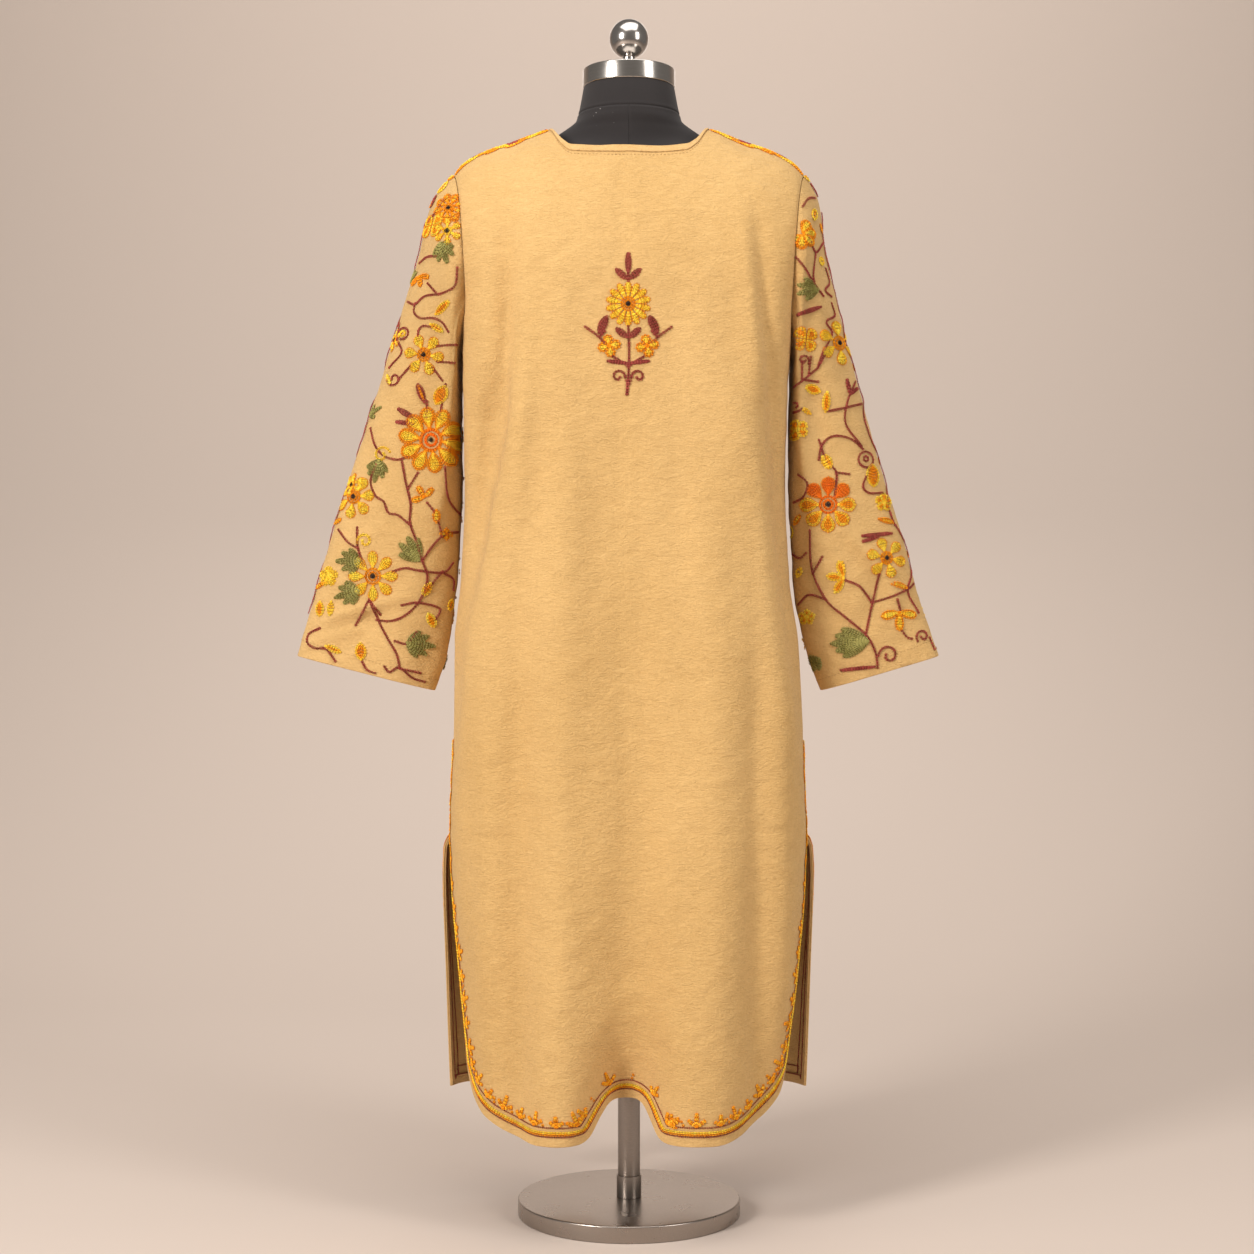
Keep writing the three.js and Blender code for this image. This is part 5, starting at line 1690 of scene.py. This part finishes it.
def right_drawing():
    """The right sleeve's drawing as seen from behind, in distances from the middle of the back."""
    return drawing(
        stem((-232, 1275), (-222, 1270), (-214, 1258)), bud(-228, 1243, 16, -10, width=0.62),
        bud(-212, 1312, 20, -132, width=0.5), maroon_bud(-227, 1296, 18, -140, 0.34),
        flower(-212, 1222, 20, 7, "orange", heart=None, turn=26, only=(2, 3, 4, 5, 6)),
        stem((-219, 1222), (-230, 1203), (-242, 1220)), bud(-239, 1189, 12, 0, "yellow", "yellow", 0.8),
        stem((-230, 1203), (-227, 1168), (-240, 1150)), stem((-202, 1198), (-228, 1163)),
        stem((-245, 1187), (-250, 1170), (-243, 1158), (-252, 1152)),
        leaf(-234, 1157, 28, 98, lobes=(-44, -16, 12, 40)), maroon_bud(-238, 1136, 34, 112, 0.18),
        stem((-252, 1143), (-256, 1128), (-244, 1118), (-252, 1104), (-240, 1080), (-234, 1061)),
        flower(-218, 1095, 17, 4, "yellow", "orange", None, turn=40), flower(-262, 1094, 28, 6, turn=10),
        stem((-200, 1033), (-214, 1044), (-234, 1061)), stem((-206, 1038), (-205, 1058)),
        stem((-214, 1044), (-214, 1068)), stem((-222, 1051), (-225, 1074)), stem((-216, 1046), (-234, 1044)),
        stem((-234, 1061), (-242, 1076)), bud(-201, 1060, 16, -5, width=0.6),
        bud(-200, 1044, 13, 160, width=0.6), bud(-238, 1032, 21, 75, width=0.6),
        bud(-246, 1032, 26, 176, width=0.4), maroon_bud(-276, 1030, 22, 12, 0.3),
        maroon_bud(-276, 1030, 17, -48, 0.3), stem((-284, 1048), (-272, 1020), (-270, 992), (-290, 966)),
        stem((-248, 1008), (-270, 1013), (-292, 1020)),
        stem((-236, 948), (-240, 966), (-254, 977), (-276, 974), (-292, 962)),
        [("maroon", ring_line(10, -296, 949)), ("maroon", ring_line(3.2, -296, 950))],
        bud(-252, 938, 19, 30, width=0.6), bud(-240, 952, 19, 210, "yellow", "yellow", 0.5),
        stem((-236, 972), (-246, 945), (-258, 932), (-256, 902)), stem((-258, 932), (-274, 930)),
        bud(-304, 944, 30, 184, width=0.62), stem((-300, 936), (-292, 916), (-300, 907), (-318, 908)),
        flower(-319, 896, 12, 5, "yellow", "orange", None),
        flower(-248, 892, 35, 8, "flame", "flame", "flame", only=(0, 1, 7)),
        flower(-248, 892, 35, 8, "yellow", "orange", "flame", only=(2, 3, 4, 5, 6)),
        maroon_bud(-330, 857, 42, 96, 0.14), maroon_bud(-312, 852, 24, 106, 0.2),
        flower(-322, 826, 26, 6, turn=18), trefoil(-268, 801, 22, 84, "yellow", "orange", 66),
        stem((-270, 798), (-288, 790), (-303, 771)), stem((-313, 806), (-305, 772), (-296, 730)),
        stem((-303, 770), (-324, 776), (-350, 787), (-358, 794)), trefoil(-338, 758, 24, 182, opening=78),
        stem((-336, 774), (-340, 760)), stem((-342, 735), (-348, 727), (-354, 725)),
        stem((-226, 860), (-229, 812), (-246, 774), (-270, 752), (-296, 730), (-308, 708), (-311, 689)),
        stem((-230, 806), (-241, 827)), stem((-246, 774), (-226, 780), (-214, 768)),
        flower(-224, 752, 10, 5, "yellow", "orange", None), bud(-214, 740, 16, 168, "orange", "yellow", 0.5),
        leaf(-300, 722, 44, 94, lobes=(-34, -16, 0, 16, 34)), curl(-312, 704, 13, 0, -1),
        maroon_bud(-308, 690, 44, 96, 0.12), curl(-362, 722, 9, 40, -1), stem((-378, 726), (-384, 712)),
        bud(-206, 852, 18, 10, width=0.5), bud(-212, 802, 14, -20, "yellow", "yellow", 0.6),
        stem((-202, 838), (-214, 826), (-222, 832)), curl(-222, 1066, 7, -30), curl(-214, 1010, 8, 150, -1),
        flower(-210, 985, 13, 5, "yellow", "orange", None, turn=20), bud(-226, 1004, 14, 60, width=0.5),
        stem((-212, 930), (-222, 918), (-218, 902), (-208, 896)),
        bud(-208, 868, 15, -30, "orange", "yellow", 0.5),
        stem((-206, 776), (-212, 752), (-206, 730), (-214, 708)), leaf(-240, 700, 22, 130),
        bud(-268, 812, 12, 20, width=0.5), stem((-254, 1180), (-250, 1196), (-256, 1206)),
    )


SIDE_FLOWERS = ((-34, 1196, 16), (14, 1100, 15), (-34, 1014, 16), (12, 918, 15))
SIDE_LEAVES = ((4, 1176, 70), (-26, 1104, 240), (4, 1006, 66), (-20, 874, -70))
SIDE_BUDS = ((4, 1234, 50), (-20, 1064, -50), (-18, 954, -120), (0, 870, 70), (-13, 828, -60), (2, 788, 60))
RIGHT_SIDE_SHIFT = 14  # the right sleeve's branch lies this much further back


def outer_side(side):
    """The branch down the outer side of a sleeve, seen from that side (y, z); the left sleeve has more room."""
    strokes = drawing(
        stem((-12, 1262), (4, 1234), (2, 1206), (-20, 1174), (-24, 1148), (-4, 1120)),
        stem((-4, 1120), (0, 1094), (-20, 1064), (-22, 1038), (-2, 1010), (0, 984), (-18, 954)),
        stem((-18, 954), (-18, 928), (0, 898), (0, 870), (-14, 842), (-12, 815), (2, 788), (-2, 758)),
    )
    if side > 0:
        strokes += drawing(*[flower(y, z, radius, 6) for y, z, radius in SIDE_FLOWERS])
        strokes += drawing(*[leaf(y, z, 20, turn, lobes=(-44, 0, 44)) for y, z, turn in SIDE_LEAVES])
    strokes += drawing(*[bud(y, z, 15, turn, "orange", "yellow", 0.5) for y, z, turn in SIDE_BUDS])
    return strokes if side > 0 else place_strokes(strokes, 0, RIGHT_SIDE_SHIFT, 0)


def turned_over(strokes):
    return [(colour, points * np.array([-1, 1])) for colour, points in strokes]


DRAWINGS = {"left": left_drawing(), "right": right_drawing()}
OTHER = {"left": "right", "right": "left"}
for number, (name, side) in enumerate(SIDES.items()):
    grid = sleeve_grids[name]
    cloth_tree = outer_tree(grid)
    lines = {}
    lay_lines(DRAWINGS[name], by_needle(cloth_tree, *from_behind), lines)
    lay_lines(turned_over(DRAWINGS[OTHER[name]]), by_needle(cloth_tree, *from_before), lines)
    from_the_side = ((lambda y, z, side=side: (side * BEYOND, y, z)), (-side, 0, 0))
    lay_lines(outer_side(side), by_needle(cloth_tree, *from_the_side), lines)
    row = int(np.argmin(np.abs(grid["stops"] - CUFF_START))) - 1
    ring = np.concatenate([np.arange(SLEEVE_COLUMNS), [0]])
    cuff_row = grid["points"][row][ring] + grid["normals"][row][ring] * 0.1
    lines["sewing"] = [(cuff_row, grid["normals"][row][ring])]
    trims[f"{name}_sleeve"] += embroider(f"{name}_sleeve", lines, 31 + 10 * number)


# ---------------------------------------------------------------- embroidery on the front
# The front is the dressed side: rows of chain stitch follow the neckline, a flowering branch fills each side
# of the yoke up over the shoulder, and the border runs round slits and hem as it does on the back.
def yoke_half(hand):
    """One side of the yoke, as a branch that climbs from the chest to the shoulder."""

    def at(x, z):
        return (hand * x, z)

    return drawing(
        stem(
            at(10, 1040), at(34, 1066), at(62, 1098), at(84, 1142), at(112, 1186), at(132, 1234), at(150, 1268)
        ),
        stem(at(84, 1142), at(118, 1140), at(150, 1158), at(170, 1190)),
        stem(at(62, 1098), at(98, 1090), at(130, 1100)), stem(at(112, 1186), at(90, 1206), at(82, 1232)),
        flower(*at(44, 1124), 26, 8, "yellow", "orange", "flame", turn=8),
        flower(*at(142, 1206), 27, 10, "yellow", "orange", "flame"),
        flower(*at(108, 1262), 21, 7, "yellow", "yellow", "orange", turn=14),
        flower(*at(152, 1120), 22, 6, "orange", "yellow", "orange", turn=20),
        flower(*at(86, 1052), 20, 6, "yellow", "orange", "orange"), leaf(*at(96, 1160), 30, -60 * hand),
        leaf(*at(132, 1096), 28, 140 * hand), leaf(*at(168, 1234), 30, 20 * hand),
        leaf(*at(40, 1080), 26, -70 * hand), bud(*at(84, 1234), 20, -10 * hand),
        bud(*at(172, 1188), 20, 30 * hand), bud(*at(60, 1170), 20, -30 * hand, "maroon", "maroon", 0.34),
        bud(*at(66, 1164), 22, 10 * hand, "maroon", "maroon", 0.34), trefoil(*at(118, 1066), 16, 120 * hand),
        trefoil(*at(64, 1020), 16, 160 * hand), curl(*at(120, 1140), 9, 0, hand),
        curl(*at(98, 1092), 8, 150 * hand, -hand), curl(*at(132, 1234), 9, -60 * hand, -hand),
        bud(*at(140, 1286), 20, 10 * hand), flower(*at(170, 1284), 16, 6, "yellow", "orange", None),
        bud(*at(118, 1300), 18, -20 * hand),
    )


def neckline_rows():
    """Rows round the front neckline, below the band, as (points, directions) taken from the cloth."""
    rows = []
    keep = np.abs(front_grid["places"]) < NECK_SIDE - 0.01
    for back_off, colour in ((7, "line"), (8, "orange"), (9, "yellow"), (10, "line")):
        row = len(front_grid["over"]) - back_off
        normals = front_grid["normals"][row][keep]
        rows.append((colour, front_grid["points"][row][keep] + normals * 0.25, normals))
    return rows


front_lines = {}
for hand in (1, -1):
    lay_lines(yoke_half(hand), by_needle(front_tree, *from_before), front_lines)
    lay_lines(shoulder_half(hand, -1), by_needle(front_tree, *from_above), front_lines)
placket = drawing(
    stem((0, 1224), (3, 1150), (-3, 1080), (0, 1010)), leaf(0, 1012, 30, 180),
    bud(2, 1196, 20, 45), bud(-2, 1196, 20, -45), maroon_bud(2, 1120, 18, 130, 0.4),
    maroon_bud(-2, 1120, 18, -130, 0.4), flower(0, 1160, 20, 8, "yellow", "orange", "flame"),
)
lay_lines(placket, by_needle(front_tree, *from_before), front_lines)
lay_lines(border(FRONT), on_skirt(FRONT, front_tree), front_lines)
for colour, points, normals in neckline_rows():
    front_lines.setdefault(colour, []).append((points, normals))
front_lines["sewing"] = [neck_topstitch(front_grid)]
hem_inside(FRONT, front_tree, front_lines)
trims["front_panel"] += embroider("front", front_lines, 71)
for helper in (chain_link, fine_link, plain_stitch):
    bpy.data.objects.remove(helper)
